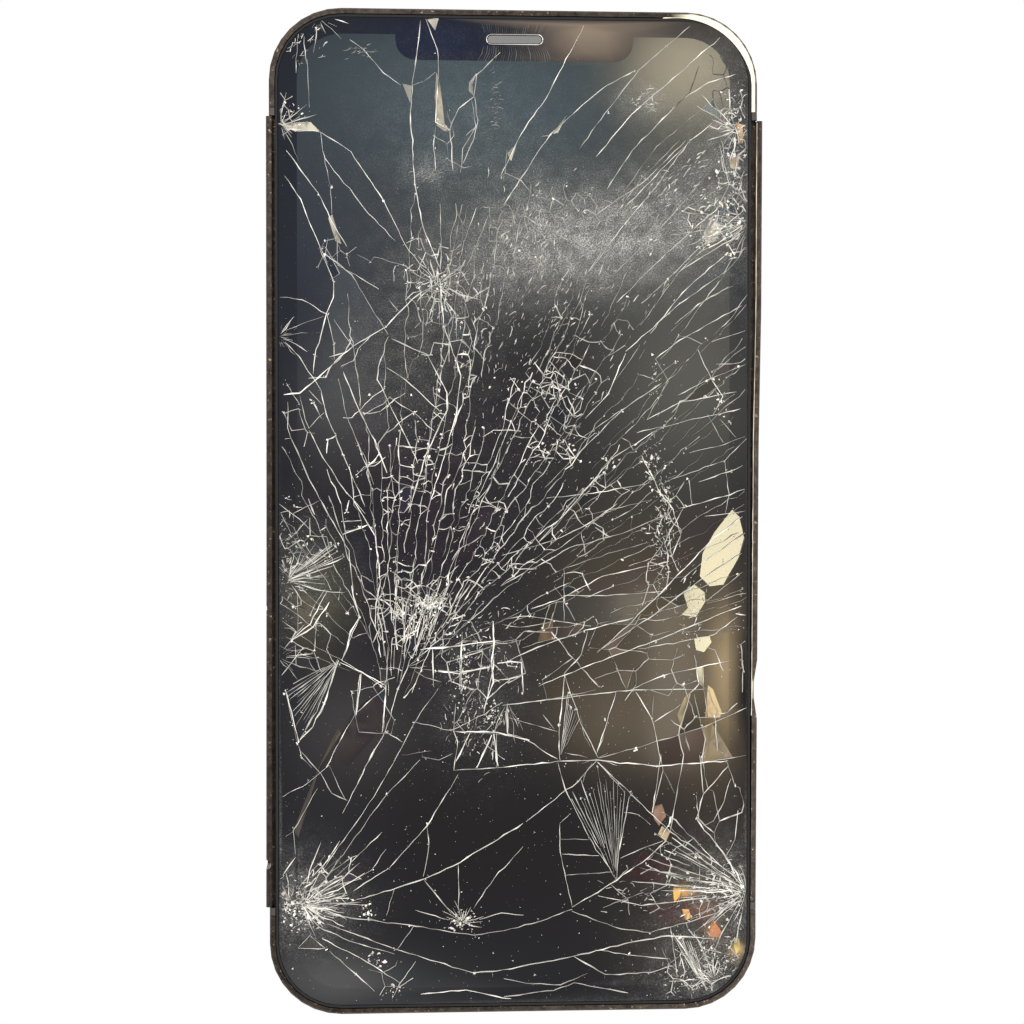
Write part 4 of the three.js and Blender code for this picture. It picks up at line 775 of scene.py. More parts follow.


# Shards painted in a colour of their own, as painted reflections and glints: corners on the sheet, colour
SHARD_REFLECTIONS = [
    ([403, 86, 413, 88, 411, 106], (176, 172, 158)),
    ([437, 74, 441, 86, 445, 125, 450, 131, 445, 133, 437, 127, 435, 99], (150, 142, 126)),
    ([477, 74, 473, 86, 474, 97, 469, 92, 469, 84], (170, 165, 150)),
    ([428, 22, 440, 20, 436, 33], (190, 186, 172)),
    ([279, 128, 312, 126, 321, 135, 297, 136], (188, 182, 165)),
    ([507, 153, 517, 144, 511, 161], (186, 180, 160)),
    ([535, 137, 551, 135, 568, 112, 558, 132], (176, 172, 156)),
    ([329, 221, 333, 217, 342, 247, 336, 244], (180, 174, 160)),
    ([737, 118, 744, 120, 744, 138, 739, 140], (196, 156, 100)),
    ([730, 150, 741, 152, 738, 166, 731, 163], (170, 150, 120)),
    ([704, 228, 712, 214, 724, 222, 716, 236, 706, 240], (196, 190, 172)),
    ([671, 884, 679, 884, 678, 892, 672, 899], (235, 165, 75)),
    ([680, 905, 687, 905, 689, 914, 683, 916], (215, 165, 105)),
    ([711, 914, 720, 927, 719, 933, 707, 932], (190, 112, 62)),
    ([733, 932, 738, 934, 739, 944, 735, 949, 733, 943], (205, 178, 95)),
    ([650, 803, 660, 800, 664, 812, 657, 822, 652, 815], (140, 112, 94)),
    ([660, 822, 668, 828, 664, 838, 656, 830], (176, 156, 128)),
    ([626, 870, 640, 848, 668, 858, 669, 877, 640, 880], (50, 27, 28)),
    ([645, 905, 660, 895, 684, 897, 690, 914, 660, 922], (56, 31, 28)),
    ([707, 680, 712, 684, 721, 707, 719, 712, 704, 713], (190, 170, 128)),
    ([690, 686, 686, 700, 679, 726, 676, 710, 683, 693], (150, 138, 108)),
    ([711, 718, 722, 735, 732, 752, 718, 753, 704, 755, 708, 736], (128, 114, 90)),
    ([535, 641, 540, 622, 551, 617, 551, 637], (98, 82, 62)),
    ([336, 728, 339, 735, 318, 768, 296, 840, 291, 834, 312, 780], (74, 67, 58)),
    ([370, 697, 377, 722, 372, 738, 345, 768, 331, 757, 334, 738, 352, 712], (31, 23, 31)),
    ([296, 562, 318, 556, 330, 572, 320, 596, 300, 590], (52, 50, 42)),
    ([288, 600, 310, 598, 318, 622, 296, 640], (58, 54, 44)),
    ([420, 505, 445, 470, 452, 480, 430, 545, 422, 560], (30, 21, 29)),
    ([452, 560, 470, 520, 490, 500, 494, 510, 470, 550], (32, 22, 30)),
    ([440, 470, 462, 430, 476, 440, 455, 480], (31, 22, 29)),
]


def inside(x, y, corners):
    hit = False
    for (x0, y0), (x1, y1) in zip(corners, corners[1:] + corners[:1]):
        if (y0 > y) != (y1 > y) and x < x0 + (x1 - x0) * (y - y0) / (y1 - y0):
            hit = not hit
    return hit


def bulge(x, y):
    for corners, across, up in lifted:
        if inside(x, y, corners):
            return -math.radians(across), -math.radians(up)
    return 0.0, 0.0


# Colours

def linear(r, g, b):
    return tuple((c / 255 / 12.92) if c < 10.3 else ((c / 255 + 0.055) / 1.055) ** 2.4 for c in (r, g, b))


shard_reflections = [([on_glass(*p) for p in pairs_of(flat)], linear(*colour)) for flat, colour in SHARD_REFLECTIONS]


def shard_reflection_at(x, y, span):
    """The painted reflection colour of the outline that a shard fills, if it doesn't reach past it."""
    for corners, colour in shard_reflections:
        if inside(x, y, corners) and span < 1.05 * max(math.dist((x, y), corner) for corner in corners):
            return colour
    return None


BEZEL = linear(17, 19, 27)
DISPLAY = linear(23, 22, 25)
# Painted reflections of the room over the display, as broad washes: x, y, half sizes on the sheet, colour,
# weight
REFLECTION_WASHES = [
    (470, 100, 240, 110, linear(50, 61, 67), 0.95),
    (320, 230, 90, 120, linear(40, 45, 52), 0.8),
    (590, 240, 140, 70, linear(58, 60, 61), 0.8),
    (690, 140, 70, 90, linear(58, 58, 55), 0.8),
    (690, 370, 90, 110, linear(70, 70, 66), 0.85),
    (430, 540, 100, 100, linear(24, 19, 26), 0.9),
    (640, 630, 90, 110, linear(60, 55, 46), 0.85),
    (705, 700, 45, 100, linear(66, 58, 47), 0.9),
    (725, 665, 16, 60, linear(134, 118, 92), 0.85),
    (610, 720, 60, 50, linear(76, 68, 57), 0.8),
    (350, 735, 60, 60, linear(50, 49, 49), 0.8),
    (690, 62, 62, 52, linear(96, 91, 78), 0.9),
    (688, 62, 48, 40, linear(116, 110, 94), 0.9),
    (500, 830, 150, 80, linear(22, 20, 20), 0.9),
    (690, 900, 80, 90, linear(40, 34, 30), 0.7),
    (683, 888, 8, 5, linear(200, 150, 80), 0.9),
    (711, 926, 5, 8, linear(170, 120, 70), 0.8),
    (736, 945, 6, 7, linear(190, 160, 105), 0.8),
    (702, 905, 14, 10, linear(96, 58, 42), 0.8),
    (315, 600, 32, 44, linear(52, 50, 40), 0.8),
    (335, 395, 45, 65, linear(54, 55, 57), 0.85),
    (300, 300, 30, 70, linear(30, 32, 42), 0.7),
    (350, 985, 130, 30, linear(42, 44, 47), 0.7),
    (330, 984, 56, 28, linear(70, 70, 71), 0.8),
    (310, 850, 60, 90, linear(28, 27, 31), 0.6),
    (748, 678, 13, 50, linear(8, 8, 10), 0.97),
]
# Washes over the bezel, mostly painted reflections of the room, with the bezel's own navy: x, y, half sizes
# on the sheet, colour, weight
BEZEL_AND_REFLECTION_WASHES = [
    (592, 32, 44, 30, linear(112, 100, 88), 0.95),
    (650, 20, 30, 8, linear(84, 74, 64), 0.8),
    (715, 26, 40, 16, linear(34, 30, 27), 0.9),
    (750, 70, 12, 36, linear(34, 31, 28), 0.85),
    (440, 45, 60, 26, linear(18, 24, 44), 0.9),
    (748, 682, 12, 46, linear(12, 12, 15), 0.95),
]
# Casts that single shards take, as multipliers
CASTS = [
    (0.75, 0.95, 1.2), (1.2, 0.95, 1.12), (1.3, 1.2, 0.95),
    (1, 1, 1), (0.65, 0.7, 0.75), (1.2, 1.2, 1.12),
]
# Dusty places: x, y, half sizes, lean in degrees, weight
DUST = [
    (585, 240, 115, 42, 10, 0.97),
    (660, 215, 60, 50, 40, 0.45),
    (535, 215, 45, 40, 0, 0.4),
    (450, 290, 60, 60, 0, 0.22),
    (400, 370, 60, 70, 0, 0.16),
    (470, 150, 110, 90, 0, 0.14),
    (645, 98, 26, 20, 0, 0.4),
    (430, 172, 22, 14, 0, 0.4),
    (418, 600, 40, 60, 20, 0.04),
    (500, 440, 110, 120, 30, 0.04),
    (730, 160, 40, 110, 0, 0.35),
    (300, 905, 45, 40, 0, 0.5),
    (725, 885, 55, 45, 0, 0.4),
    (705, 965, 55, 45, 0, 0.35),
    (475, 690, 45, 70, 0, 0.14),
    (300, 580, 45, 55, 0, 0.2),
]


def washed(colour, washes, px, py):
    for *place, wash, weight in washes:
        colour = mixed(colour, wash, weight * ellipse(px, py, *place))
    return colour


# The display's own dark colour under painted reflections of the room
def display_tint_and_reflection(x, y):
    return washed(DISPLAY, REFLECTION_WASHES, *on_sheet(x, y))


def bezel_tint_and_reflection(x, y):
    px, py = on_sheet(x, y)
    # Towards the bottom the bezel takes on more of the display's colour and painted reflections
    share = min(max((py - 60) / 600, 0.15), 0.85)
    if abs(x) < NOTCH_X and y > NOTCH_FLOOR:
        share = 0
    return washed(mixed(BEZEL, display_tint_and_reflection(x, y), share), BEZEL_AND_REFLECTION_WASHES, px, py)


def dustiness(x, y):
    px, py = on_sheet(x, y)
    clear = 1.0
    for *place, weight in DUST:
        clear *= 1 - weight * ellipse(px, py, *place)
    return 1 - clear


# Objects

def add_object(name, data):
    obj = bpy.data.objects.new(name, data)
    bpy.context.scene.collection.objects.link(obj)
    return obj


def make_mesh(name, verts, faces, material, body="chassis"):
    mesh = bpy.data.meshes.new(name)
    mesh.from_pydata([(x * MM, y * MM, z * MM) for x, y, z in verts], [], faces)
    mesh.materials.append(material)
    obj = add_object(name, mesh)
    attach(obj, body)
    return obj


def paint(mesh, name, domain, values):
    attribute = mesh.color_attributes.new(name, "FLOAT_COLOR", domain)
    attribute.data.foreach_set("color", [c for value in values for c in (*value, 1.0)])


# Materials

# A painted highlight on the rim round the top right corner, pale and not metallic
PAINTED_HIGHLIGHT = (0.74, 0.7, 0.53)
# The painted highlight fades in where the dot product of a place in metres with the slope below passes the
# fade range below
HIGHLIGHT_SLOPE = (27.4, 13.6, 0)
HIGHLIGHT_FADE = (1.62, 1.7)


def shader(name, colour, rough=0.5, metal=0.0, specular=0.5):
    material = bpy.data.materials.new(name)
    material.use_nodes = True
    node = material.node_tree.nodes["Principled BSDF"]
    node.inputs["Base Color"].default_value = (*colour, 1)
    node.inputs["Roughness"].default_value = rough
    node.inputs["Metallic"].default_value = metal
    node.inputs["Specular IOR Level"].default_value = specular
    return material


def tree_of(material):
    return material.node_tree, material.node_tree.nodes["Principled BSDF"]


def noise(tree, scale, detail=2.0, rough=0.5):
    coords = tree.nodes.new("ShaderNodeTexCoord")
    texture = tree.nodes.new("ShaderNodeTexNoise")
    texture.inputs["Scale"].default_value = scale
    texture.inputs["Detail"].default_value = detail
    texture.inputs["Roughness"].default_value = rough
    tree.links.new(coords.outputs["Object"], texture.inputs["Vector"])
    return texture


def ramp(tree, source, stops):
    node = tree.nodes.new("ShaderNodeValToRGB")
    elements = node.color_ramp.elements
    while len(elements) < len(stops):
        elements.new(0.5)
    for element, (place, value) in zip(elements, stops):
        element.position = place
        element.color = (*value, 1) if isinstance(value, tuple) else (value, value, value, 1)
    tree.links.new(source, node.inputs["Fac"])
    return node


def math_node(tree, kind, a, b):
    node = tree.nodes.new("ShaderNodeMath")
    node.operation = kind
    for socket, value in zip(node.inputs, (a, b)):
        if isinstance(value, (int, float)):
            socket.default_value = value
        else:
            tree.links.new(value, socket)
    return node.outputs[0]


def mix_colour(tree, share, a, b):
    node = tree.nodes.new("ShaderNodeMix")
    node.data_type = "RGBA"
    for socket, value in zip((node.inputs["Factor"], node.inputs[6], node.inputs[7]), (share, a, b)):
        if isinstance(value, (int, float)):
            socket.default_value = value
        elif isinstance(value, tuple):
            socket.default_value = (*value, 1)
        else:
            tree.links.new(value, socket)
    return node.outputs[2]


def attribute(tree, name):
    node = tree.nodes.new("ShaderNodeAttribute")
    node.attribute_name = name
    return node


def glass_material():
    material = shader("shattered_glass", (0.02, 0.02, 0.02), 0.09)
    tree, base = tree_of(material)
    # The tint attribute holds the shards' own colours with painted reflections of the room
    tint = attribute(tree, "tint")
    dust = attribute(tree, "dust")
    grain = ramp(tree, noise(tree, 5200, 4, 0.7).outputs["Fac"], [(0.46, 0.15), (0.63, 1.0)])
    smear = ramp(tree, noise(tree, 420, 3, 0.6).outputs["Fac"], [(0.35, 0.35), (0.7, 1.0)])
    layer = math_node(tree, "MULTIPLY", dust.outputs["Fac"], grain.outputs["Color"])
    layer = math_node(tree, "MULTIPLY", layer, smear.outputs["Color"])
    colour = mix_colour(tree, layer, tint.outputs["Color"], (0.52, 0.52, 0.5))
    tree.links.new(colour, base.inputs["Base Color"])
    rough = math_node(tree, "MULTIPLY", layer, 0.5)
    rough = math_node(tree, "ADD", rough, 0.07)
    tree.links.new(rough, base.inputs["Roughness"])
    return material


def crack_material():
    material = shader("broken_edge", (0.8, 0.78, 0.7), 0.35)
    tree, base = tree_of(material)
    tree.links.new(attribute(tree, "tint").outputs["Color"], base.inputs["Base Color"])
    return material


def worn_metal(name, dark, fleck, amount, rough=0.38):
    material = shader(name, dark, rough, 0.85)
    tree, base = tree_of(material)
    chips = ramp(tree, noise(tree, 1500, 6, 0.75).outputs["Fac"], [(amount, 0.0), (amount + 0.08, 1.0)])
    patch_colour = ramp(tree, noise(tree, 900, 5, 0.7).outputs["Fac"],
                 [(0.34, tuple(c * 0.55 for c in dark)), (0.7, tuple(c * 1.9 for c in dark))])
    colour = mix_colour(tree, chips.outputs["Color"], patch_colour.outputs["Color"], fleck)
    tree.links.new(colour, base.inputs["Base Color"])
    return material


def vector_node(tree, operation, first, second):
    node = tree.nodes.new("ShaderNodeVectorMath")
    node.operation = operation
    tree.links.new(first, node.inputs[0])
    if second:
        node.inputs[1].default_value = second
    return node


def fade_node(tree, value, low, high, at_low, at_high):
    node = tree.nodes.new("ShaderNodeMapRange")
    for name, number in (("From Min", low), ("From Max", high), ("To Min", at_low), ("To Max", at_high)):
        node.inputs[name].default_value = number
    tree.links.new(value, node.inputs["Value"])
    return node.outputs["Result"]


def highlight_rim_corner(material):
    """Paints a pale, non-metallic highlight on the rim round the top right corner, inside a thin line of
    coating.
    """
    tree, base = tree_of(material)
    place = tree.nodes.new("ShaderNodeTexCoord").outputs["Object"]
    lean = vector_node(tree, "DOT_PRODUCT", place, HIGHLIGHT_SLOPE)
    along = fade_node(tree, lean.outputs["Value"], *HIGHLIGHT_FADE, 0, 1)
    offset = vector_node(tree, "SUBTRACT", place, (CORNER_MID[0] * MM, CORNER_MID[1] * MM, 0))
    offset = vector_node(tree, "MAXIMUM", offset.outputs["Vector"], (0, 0, 0))
    offset = vector_node(tree, "MULTIPLY", offset.outputs["Vector"], (1, 1, 0))
    reach = vector_node(tree, "LENGTH", offset.outputs["Vector"], None)
    across = fade_node(tree, reach.outputs["Value"], HIGHLIGHT_EDGE * MM, HIGHLIGHT_LIMIT * MM, 1, 0)
    share = math_node(tree, "MULTIPLY", along, across)
    height = vector_node(tree, "DOT_PRODUCT", place, (0, 0, 1))
    upper = fade_node(tree, height.outputs["Value"], HIGHLIGHT_LOW * MM, HIGHLIGHT_HIGH * MM, 0, 1)
    share = math_node(tree, "MULTIPLY", share, upper)
    coated = base.inputs["Base Color"].links[0].from_socket
    tree.links.new(mix_colour(tree, share, coated, PAINTED_HIGHLIGHT), base.inputs["Base Color"])
    tree.links.new(fade_node(tree, share, 0, 1, 0.85, 0), base.inputs["Metallic"])
    return material


COATING = (0.042, 0.034, 0.029)
CHIP = (0.5, 0.36, 0.25)
glass = glass_material()
broken = crack_material()
metal = worn_metal("worn_frame", COATING, CHIP, 0.6)
# The top band: worn metal with a painted highlight round the top right corner
end_metal_and_highlight = highlight_rim_corner(worn_metal("worn_end_and_highlight", COATING, CHIP, 0.6))
button = worn_metal("worn_button", (0.06, 0.05, 0.043), (0.45, 0.35, 0.26), 0.66)
# Plain finishes: colour, roughness, metal, specular
PLAIN = {
    "gasket_plastic": ((0.012, 0.012, 0.013), 0.75, 0.0, 0.2),
    "mesh_grey": ((0.12, 0.122, 0.125), 0.6, 0.3),
    "break_plastic": ((0.03, 0.027, 0.025), 0.5),
    "inner_plastic": ((0.02, 0.02, 0.022), 0.5),
    "inner_metal": ((0.55, 0.55, 0.53), 0.35, 1.0),
    "panel_black": ((0.008, 0.008, 0.01), 0.2),
    "copper": ((0.62, 0.3, 0.15), 0.35, 1.0),
    "back_glass": ((0.012, 0.012, 0.014), 0.12),
    "flash_lens": ((0.8, 0.72, 0.45), 0.15),
    "ring_metal": ((0.12, 0.11, 0.105), 0.25, 1.0),
    "lens_glass": ((0.004, 0.005, 0.012), 0.03),
    "battery_wrap": ((0.015, 0.015, 0.015), 0.55),
    "board": ((0.012, 0.04, 0.026), 0.4),
    "screw_metal": ((0.14, 0.13, 0.12), 0.35, 1.0),
}
finishes = {slot: shader(slot, *look) for slot, look in PLAIN.items()}
finishes.update(worn_frame=metal, button_metal=button)
slot_of = {part["node"]: part["material_slot"] for part in frame["record"]["subparts"]}
for name, obj in nodes.items():
    finish = finishes.get(slot_of[name], finishes["panel_black"])
    obj.data.materials.clear()
    obj.data.materials.append(end_metal_and_highlight if name == "top_band" else finish)


# The shards: the glass split along every crack, each shard a little tilted. Loose points
# GRID millimetres apart carry the colours across the wide shards

GRID = 2.6
BROKEN_SIDE = (150, 150, 145)
LIFT_ROOM = 0.3
LIFT_LEAN = 0.0015
# Where the shards lie loosest: x, y, half sizes on the sheet
LOOSE = (715, 670, 40, 90)


def rounded_outline(half_x, half_y, radius, steps):
    points = []
    for quarter, (sx, sy) in enumerate([(1, 1), (-1, 1), (-1, -1), (1, -1)]):
        for i in range(steps + 1):
            angle = (quarter + i / steps) * math.pi / 2
            points.append((sx * (half_x - radius) + radius * math.cos(angle),
                           sy * (half_y - radius) + radius * math.sin(angle)))
    return points


def active_outline():
    points = rounded_outline(ACTIVE_X, ACTIVE_Y, ACTIVE_R, 8)
    right, left = points[:9], points[9:]
    notch = [(NOTCH_X, ACTIVE_Y)]
    for i in range(7):
        angle = -i / 6 * math.pi / 2
        notch.append((NOTCH_X - NOTCH_R + NOTCH_R * math.cos(angle),
                      NOTCH_FLOOR + NOTCH_R + NOTCH_R * math.sin(angle)))
    mirrored = [(-x, y) for x, y in reversed(notch)]
    return right + notch + mirrored + left


def slot_outline():
    points = []
    for side, start in ((1, -90), (-1, 90)):
        for i in range(7):
            angle = math.radians(start + i * 30)
            points.append((side * (SLOT_X - SLOT_R) + SLOT_R * math.cos(angle),
                           SLOT_Y + SLOT_R * math.sin(angle)))
    return points


def split_glass():
    """The glass cut along every crack: its points, its faces and the faces of each shard."""
    points, edges = [], []

    def add_path(path, closed):
        first = len(points)
        points.extend(path)
        edges.extend((first + i, first + i + 1) for i in range(len(path) - 1))
        if closed:
            edges.append((len(points) - 1, first))

    add_path(rounded_outline(GLASS_X, GLASS_Y, GLASS_R, 12), True)
    add_path(slot_outline(), True)
    add_path(active_outline(), True)
    plain = len(edges)
    for path, _, _, _ in cracks:
        add_path(path, False)
    for corners in [shard[0] for shard in lifted + shard_reflections]:
        add_path(corners, True)
    for i in range(-13, 14):
        for j in range(-28, 29):
            x, y = i * GRID + rng.uniform(-0.4, 0.4), j * GRID + rng.uniform(-0.4, 0.4)
            if on_cover(x, y, CRUMB_MARGIN):
                points.append((x, y))
    flat, out_edges, faces, _, sources, _ = delaunay_2d_cdt([Vector(p) for p in points], edges, [], 0, 1e-4)
    split = {(min(a, b), max(a, b)) for (a, b), source in zip(out_edges, sources)
             if any(s >= plain for s in source)}
    kept = []
    for face in faces:
        x = sum(flat[i].x for i in face) / 3
        y = sum(flat[i].y for i in face) / 3
        if on_cover(x, y, 0) and not in_slot(x, y):
            kept.append((face, in_active(x, y)))
    parent = list(range(len(kept)))

    def find(i):
        while parent[i] != i:
            parent[i] = parent[parent[i]]
            i = parent[i]
        return i

    beside = {}
    for i, (face, _) in enumerate(kept):
        for _, _, key in sides(face):
            if key in split:
                continue
            if key in beside:
                parent[find(i)] = find(beside[key])
            else:
                beside[key] = i
    shards = {}
    for i in range(len(kept)):
        shards.setdefault(find(i), []).append(i)
    return flat, kept, list(shards.values())


def build_shards():
    flat, kept, shards = split_glass()
    verts, mesh_faces, tints, dusts = [], [], [], []
    for members in shards:
        used = sorted({v for i in members for v in kept[i][0]})
        cx = sum(flat[v].x for v in used) / len(used)
        cy = sum(flat[v].y for v in used) / len(used)
        span = max(math.hypot(flat[v].x - cx, flat[v].y - cy) for v in used)
        lean = math.radians(0.35 + 1.3 / (1 + span / 2))
        px, py = on_sheet(cx, cy)
        lean *= 1 + 1.6 * ellipse(px, py, *LOOSE)
        extra_x, extra_y = bulge(cx, cy)
        raised = extra_x or extra_y
        if raised:
            lean = LIFT_LEAN
        tilt_x, tilt_y = extra_x + rng.gauss(0, lean), extra_y + rng.gauss(0, lean)
        rise = max(abs(tilt_x * (flat[v].x - cx) + tilt_y * (flat[v].y - cy)) for v in used)
        room = LIFT_ROOM if raised else GLASS_LIMIT - GLASS_TOP
        if rise > room:
            tilt_x *= room / rise
            tilt_y *= room / rise
        base = min(GLASS_TOP, GLASS_LIMIT - min(rise, room))
        cast = rng.choice(CASTS)
        strength = math.exp(rng.gauss(0, 0.28))
        share = 1 / (1 + (span / 6) ** 2)
        cast = tuple(1 + (c * strength - 1) * share for c in cast)
        # Shards inside a listed outline take its painted reflection colour
        patch_colour = shard_reflection_at(cx, cy, span)
        fade = {v: rng.uniform(0.15, 0.95) for v in used} if patch_colour else {}
        first = len(verts)
        place = {v: k for k, v in enumerate(used)}
        count = len(used)
        for v in used:
            p = flat[v]
            verts.append((p.x, p.y, base + tilt_x * (p.x - cx) + tilt_y * (p.y - cy)))
            dusts.append(dustiness(p.x, p.y))
        for v in used:
            verts.append((flat[v].x, flat[v].y, GLASS_LOW))
            dusts.append(0.0)
        rim = {}
        for i in members:
            face, active = kept[i]
            top = [first + place[v] for v in face]
            mesh_faces.append(top)
            mesh_faces.append([first + count + place[v] for v in reversed(face)])
            for v in face:
                colour = (display_tint_and_reflection if active else bezel_tint_and_reflection)(flat[v].x, flat[v].y)
                colour = tuple(c * k for c, k in zip(colour, cast))
                if patch_colour:
                    colour = mixed(colour, patch_colour, fade[v])
                tints.append(colour)
            tints.extend([BEZEL] * 3)
            for a, b, key in sides(face):
                rim[key] = None if key in rim else (a, b)
        for pair in rim.values():
            if pair:
                a, b = place[pair[0]], place[pair[1]]
                mesh_faces.append([first + b, first + a, first + count + a, first + count + b])
                tints.extend([linear(*BROKEN_SIDE)] * 4)
    obj = make_mesh("glass_shards", verts, mesh_faces, glass)
    paint(obj.data, "tint", "CORNER", tints)
    layer = obj.data.attributes.new("dust", "FLOAT", "POINT")
    layer.data.foreach_set("value", dusts)
    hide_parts("cover_glass")


build_shards()


# The cracks' broken edges, as narrow raised ridges

CREAM = (0.9, 0.88, 0.82)
# The lit corner, where cracks look dark, and the pale smudge beside it: x, y, half sizes on the sheet
LIT_CORNER = (690, 62, 56, 44)
SMUDGE = (645, 98, 24, 20)


def cream(glow):
    return tuple(c * glow for c in CREAM)


def make_broken(name, verts, faces, tints):
    obj = make_mesh(name, verts, faces, broken)
    paint(obj.data, "tint", "POINT", tints)


def build_ridges():
    verts, faces, tints = [], [], []
    for path, width, bright, tip in cracks + squiggles:
        first = len(verts)
        last = len(path) - 1
        top = RIDGE_TOP - rng.uniform(0, 0.04)
        px, py = on_sheet(*path[last // 2])
        smudged = ellipse(px, py, *SMUDGE) >= 0.35
        if smudged:
            bright = min(1.6 * bright, 1)
        # Painted shade: cracks in the lit corner are darkened
        elif ellipse(px, py, *LIT_CORNER) > 0.4:
            bright *= 0.12
        for i, (x, y) in enumerate(path):
            x0, y0 = path[max(i - 1, 0)]
            x1, y1 = path[min(i + 1, last)]
            length = math.hypot(x1 - x0, y1 - y0) or 1
            nx, ny = -(y1 - y0) / length, (x1 - x0) / length
            half = width / 2 * (0.45 + 1.1 * rng.random() ** 1.7) * (tip if i in (0, last) else 1)
            glow = bright * rng.uniform(0.3, 1.0)
            for side, z in ((1, top), (-1, top), (-1, RIDGE_LOW), (1, RIDGE_LOW)):
                verts.append((x + nx * half * side, y + ny * half * side, z))
                tints.append(cream(glow))
        for i in range(last):
            a, b = first + 4 * i, first + 4 * i + 4
            for k in range(4):
                turn = (k + 1) % 4
                faces.append((a + k, b + k, b + turn, a + turn))
        end = first + 4 * last
        faces.append((first, first + 1, first + 2, first + 3))
        faces.append((end + 3, end + 2, end + 1, end))
    make_broken("crack_edges", verts, faces, tints)


rim = [(side * (SLOT_X - SLOT_R) + (SLOT_R + SLOT_RIM) * math.cos(math.radians(start + 20 * i)),
        SLOT_Y + (SLOT_R + SLOT_RIM) * math.sin(math.radians(start + 20 * i)))
       for side, start in ((1, -90), (-1, 90)) for i in range(10)]
squiggles.append((rim + rim[:1], 0.11, 0.75, 1.0))
build_ridges()


# Pale strips on the rim: a painted highlight in a crescent round the top right corner, and a pale line along
# the inner edge of the right rail

highlight_finish = shader("painted_highlight_finish", PAINTED_HIGHLIGHT, 0.3)
lip = shader("pale_lip", (0.62, 0.56, 0.46), 0.35)


def closed_strip(name, outer, inner, low, high, material):
    """A thin closed strip between two lines of points."""
    verts, faces = [], []
    for (ox, oy), (ix, iy) in zip(outer, inner):
        verts.extend([(ox, oy, low), (ox, oy, high), (ix, iy, high), (ix, iy, low)])
    for i in range(len(outer) - 1):
        a, b = 4 * i, 4 * i + 4
        for k in range(4):
            turn = (k + 1) % 4
            faces.append((a + k, a + turn, b + turn, b + k))
    end = 4 * (len(outer) - 1)
    faces.append((3, 2, 1, 0))
    faces.append((end, end + 1, end + 2, end + 3))
    make_mesh(name, verts, faces, material)


def build_rim_strips():
    outer, inner = [], []
    # A crescent of painted highlight round the top right corner
    for i in range(CRESCENT_STEPS + 1):
        angle = math.radians(CRESCENT_START + CRESCENT_TURN * i / CRESCENT_STEPS)
        wide = 0.06 + 0.98 * math.sin(math.pi * i / CRESCENT_STEPS) ** 0.7
        for points, radius in ((outer, CRESCENT_R), (inner, CRESCENT_R - wide)):
            points.append((CORNER_MID[0] + radius * math.cos(angle),
                           CORNER_MID[1] + radius * math.sin(angle)))
    closed_strip("highlight_crescent", outer, inner, RIM_LOW, RIM_TOP, highlight_finish)
    # A pale line along the inner edge of the right rail
    outer, inner = [], []
    for i in range(LIP_STEPS + 1):
        y = LIP_START + LIP_LENGTH * i / LIP_STEPS
        spread = next(s0 + (s1 - s0) * (y - y0) / (y1 - y0)
                      for (y0, s0), (y1, s1) in zip(LIP_SPREAD, LIP_SPREAD[1:]) if y0 <= y <= y1)
        x = LIP_X + spread
        outer.append((x + 0.13 + rng.uniform(-0.03, 0.03), y))
        inner.append((x - 0.06 + rng.uniform(-0.03, 0.03), y))
    closed_strip("pale_lip_right", outer, inner, RIM_LOW, RIM_TOP, lip)


build_rim_strips()


# Crumbs of crushed glass, and dust

SPECKS = 8000
# The glass on the sheet, the share of specks that lie anywhere on it, and where more of them lie:
# share, x, y, half sizes, lean in degrees
SHEET_X = (275, 755)
SHEET_Y = (15, 1010)
STRAY = 0.045
DUSTY = [
    (0.26, 460, 170, 190, 170),
    (0.1, 500, 600, 200, 250),
    (0.9, 585, 240, 105, 46, 10),
    (0.5, 525, 225, 40, 44),
]

# Crushed places: x, y, half sizes on the sheet, how many crumbs, largest size in millimetres
CRUSHED = [
    (298, 908, 24, 18, 170, 0.5),
    (742, 884, 18, 14, 120, 0.5),
    (437, 285, 22, 26, 110, 0.4),
    (430, 604, 11, 9, 60, 0.9),
    (412, 622, 18, 38, 80, 0.5),
    (460, 668, 7, 30, 60, 0.7),
    (487, 712, 9, 10, 30, 0.7),
    (740, 120, 14, 50, 150, 0.5),
    (725, 210, 20, 24, 90, 0.4),
    (459, 920, 12, 8, 60, 0.45),
    (700, 960, 32, 32, 110, 0.45),
    (648, 460, 8, 14, 40, 0.5),
    (664, 535, 14, 50, 80, 0.4),
    (285, 128, 14, 14, 50, 0.4),
    (322, 24, 12, 10, 40, 0.4),
    (279, 340, 8, 14, 40, 0.4),
    (445, 128, 10, 10, 30, 0.45),
    (472, 690, 26, 46, 110, 0.4),
    (545, 225, 40, 20, 60, 0.3),
    (690, 610, 12, 40, 50, 0.4),
    (740, 600, 10, 80, 50, 0.4),
    (280, 560, 10, 60, 60, 0.4),
]


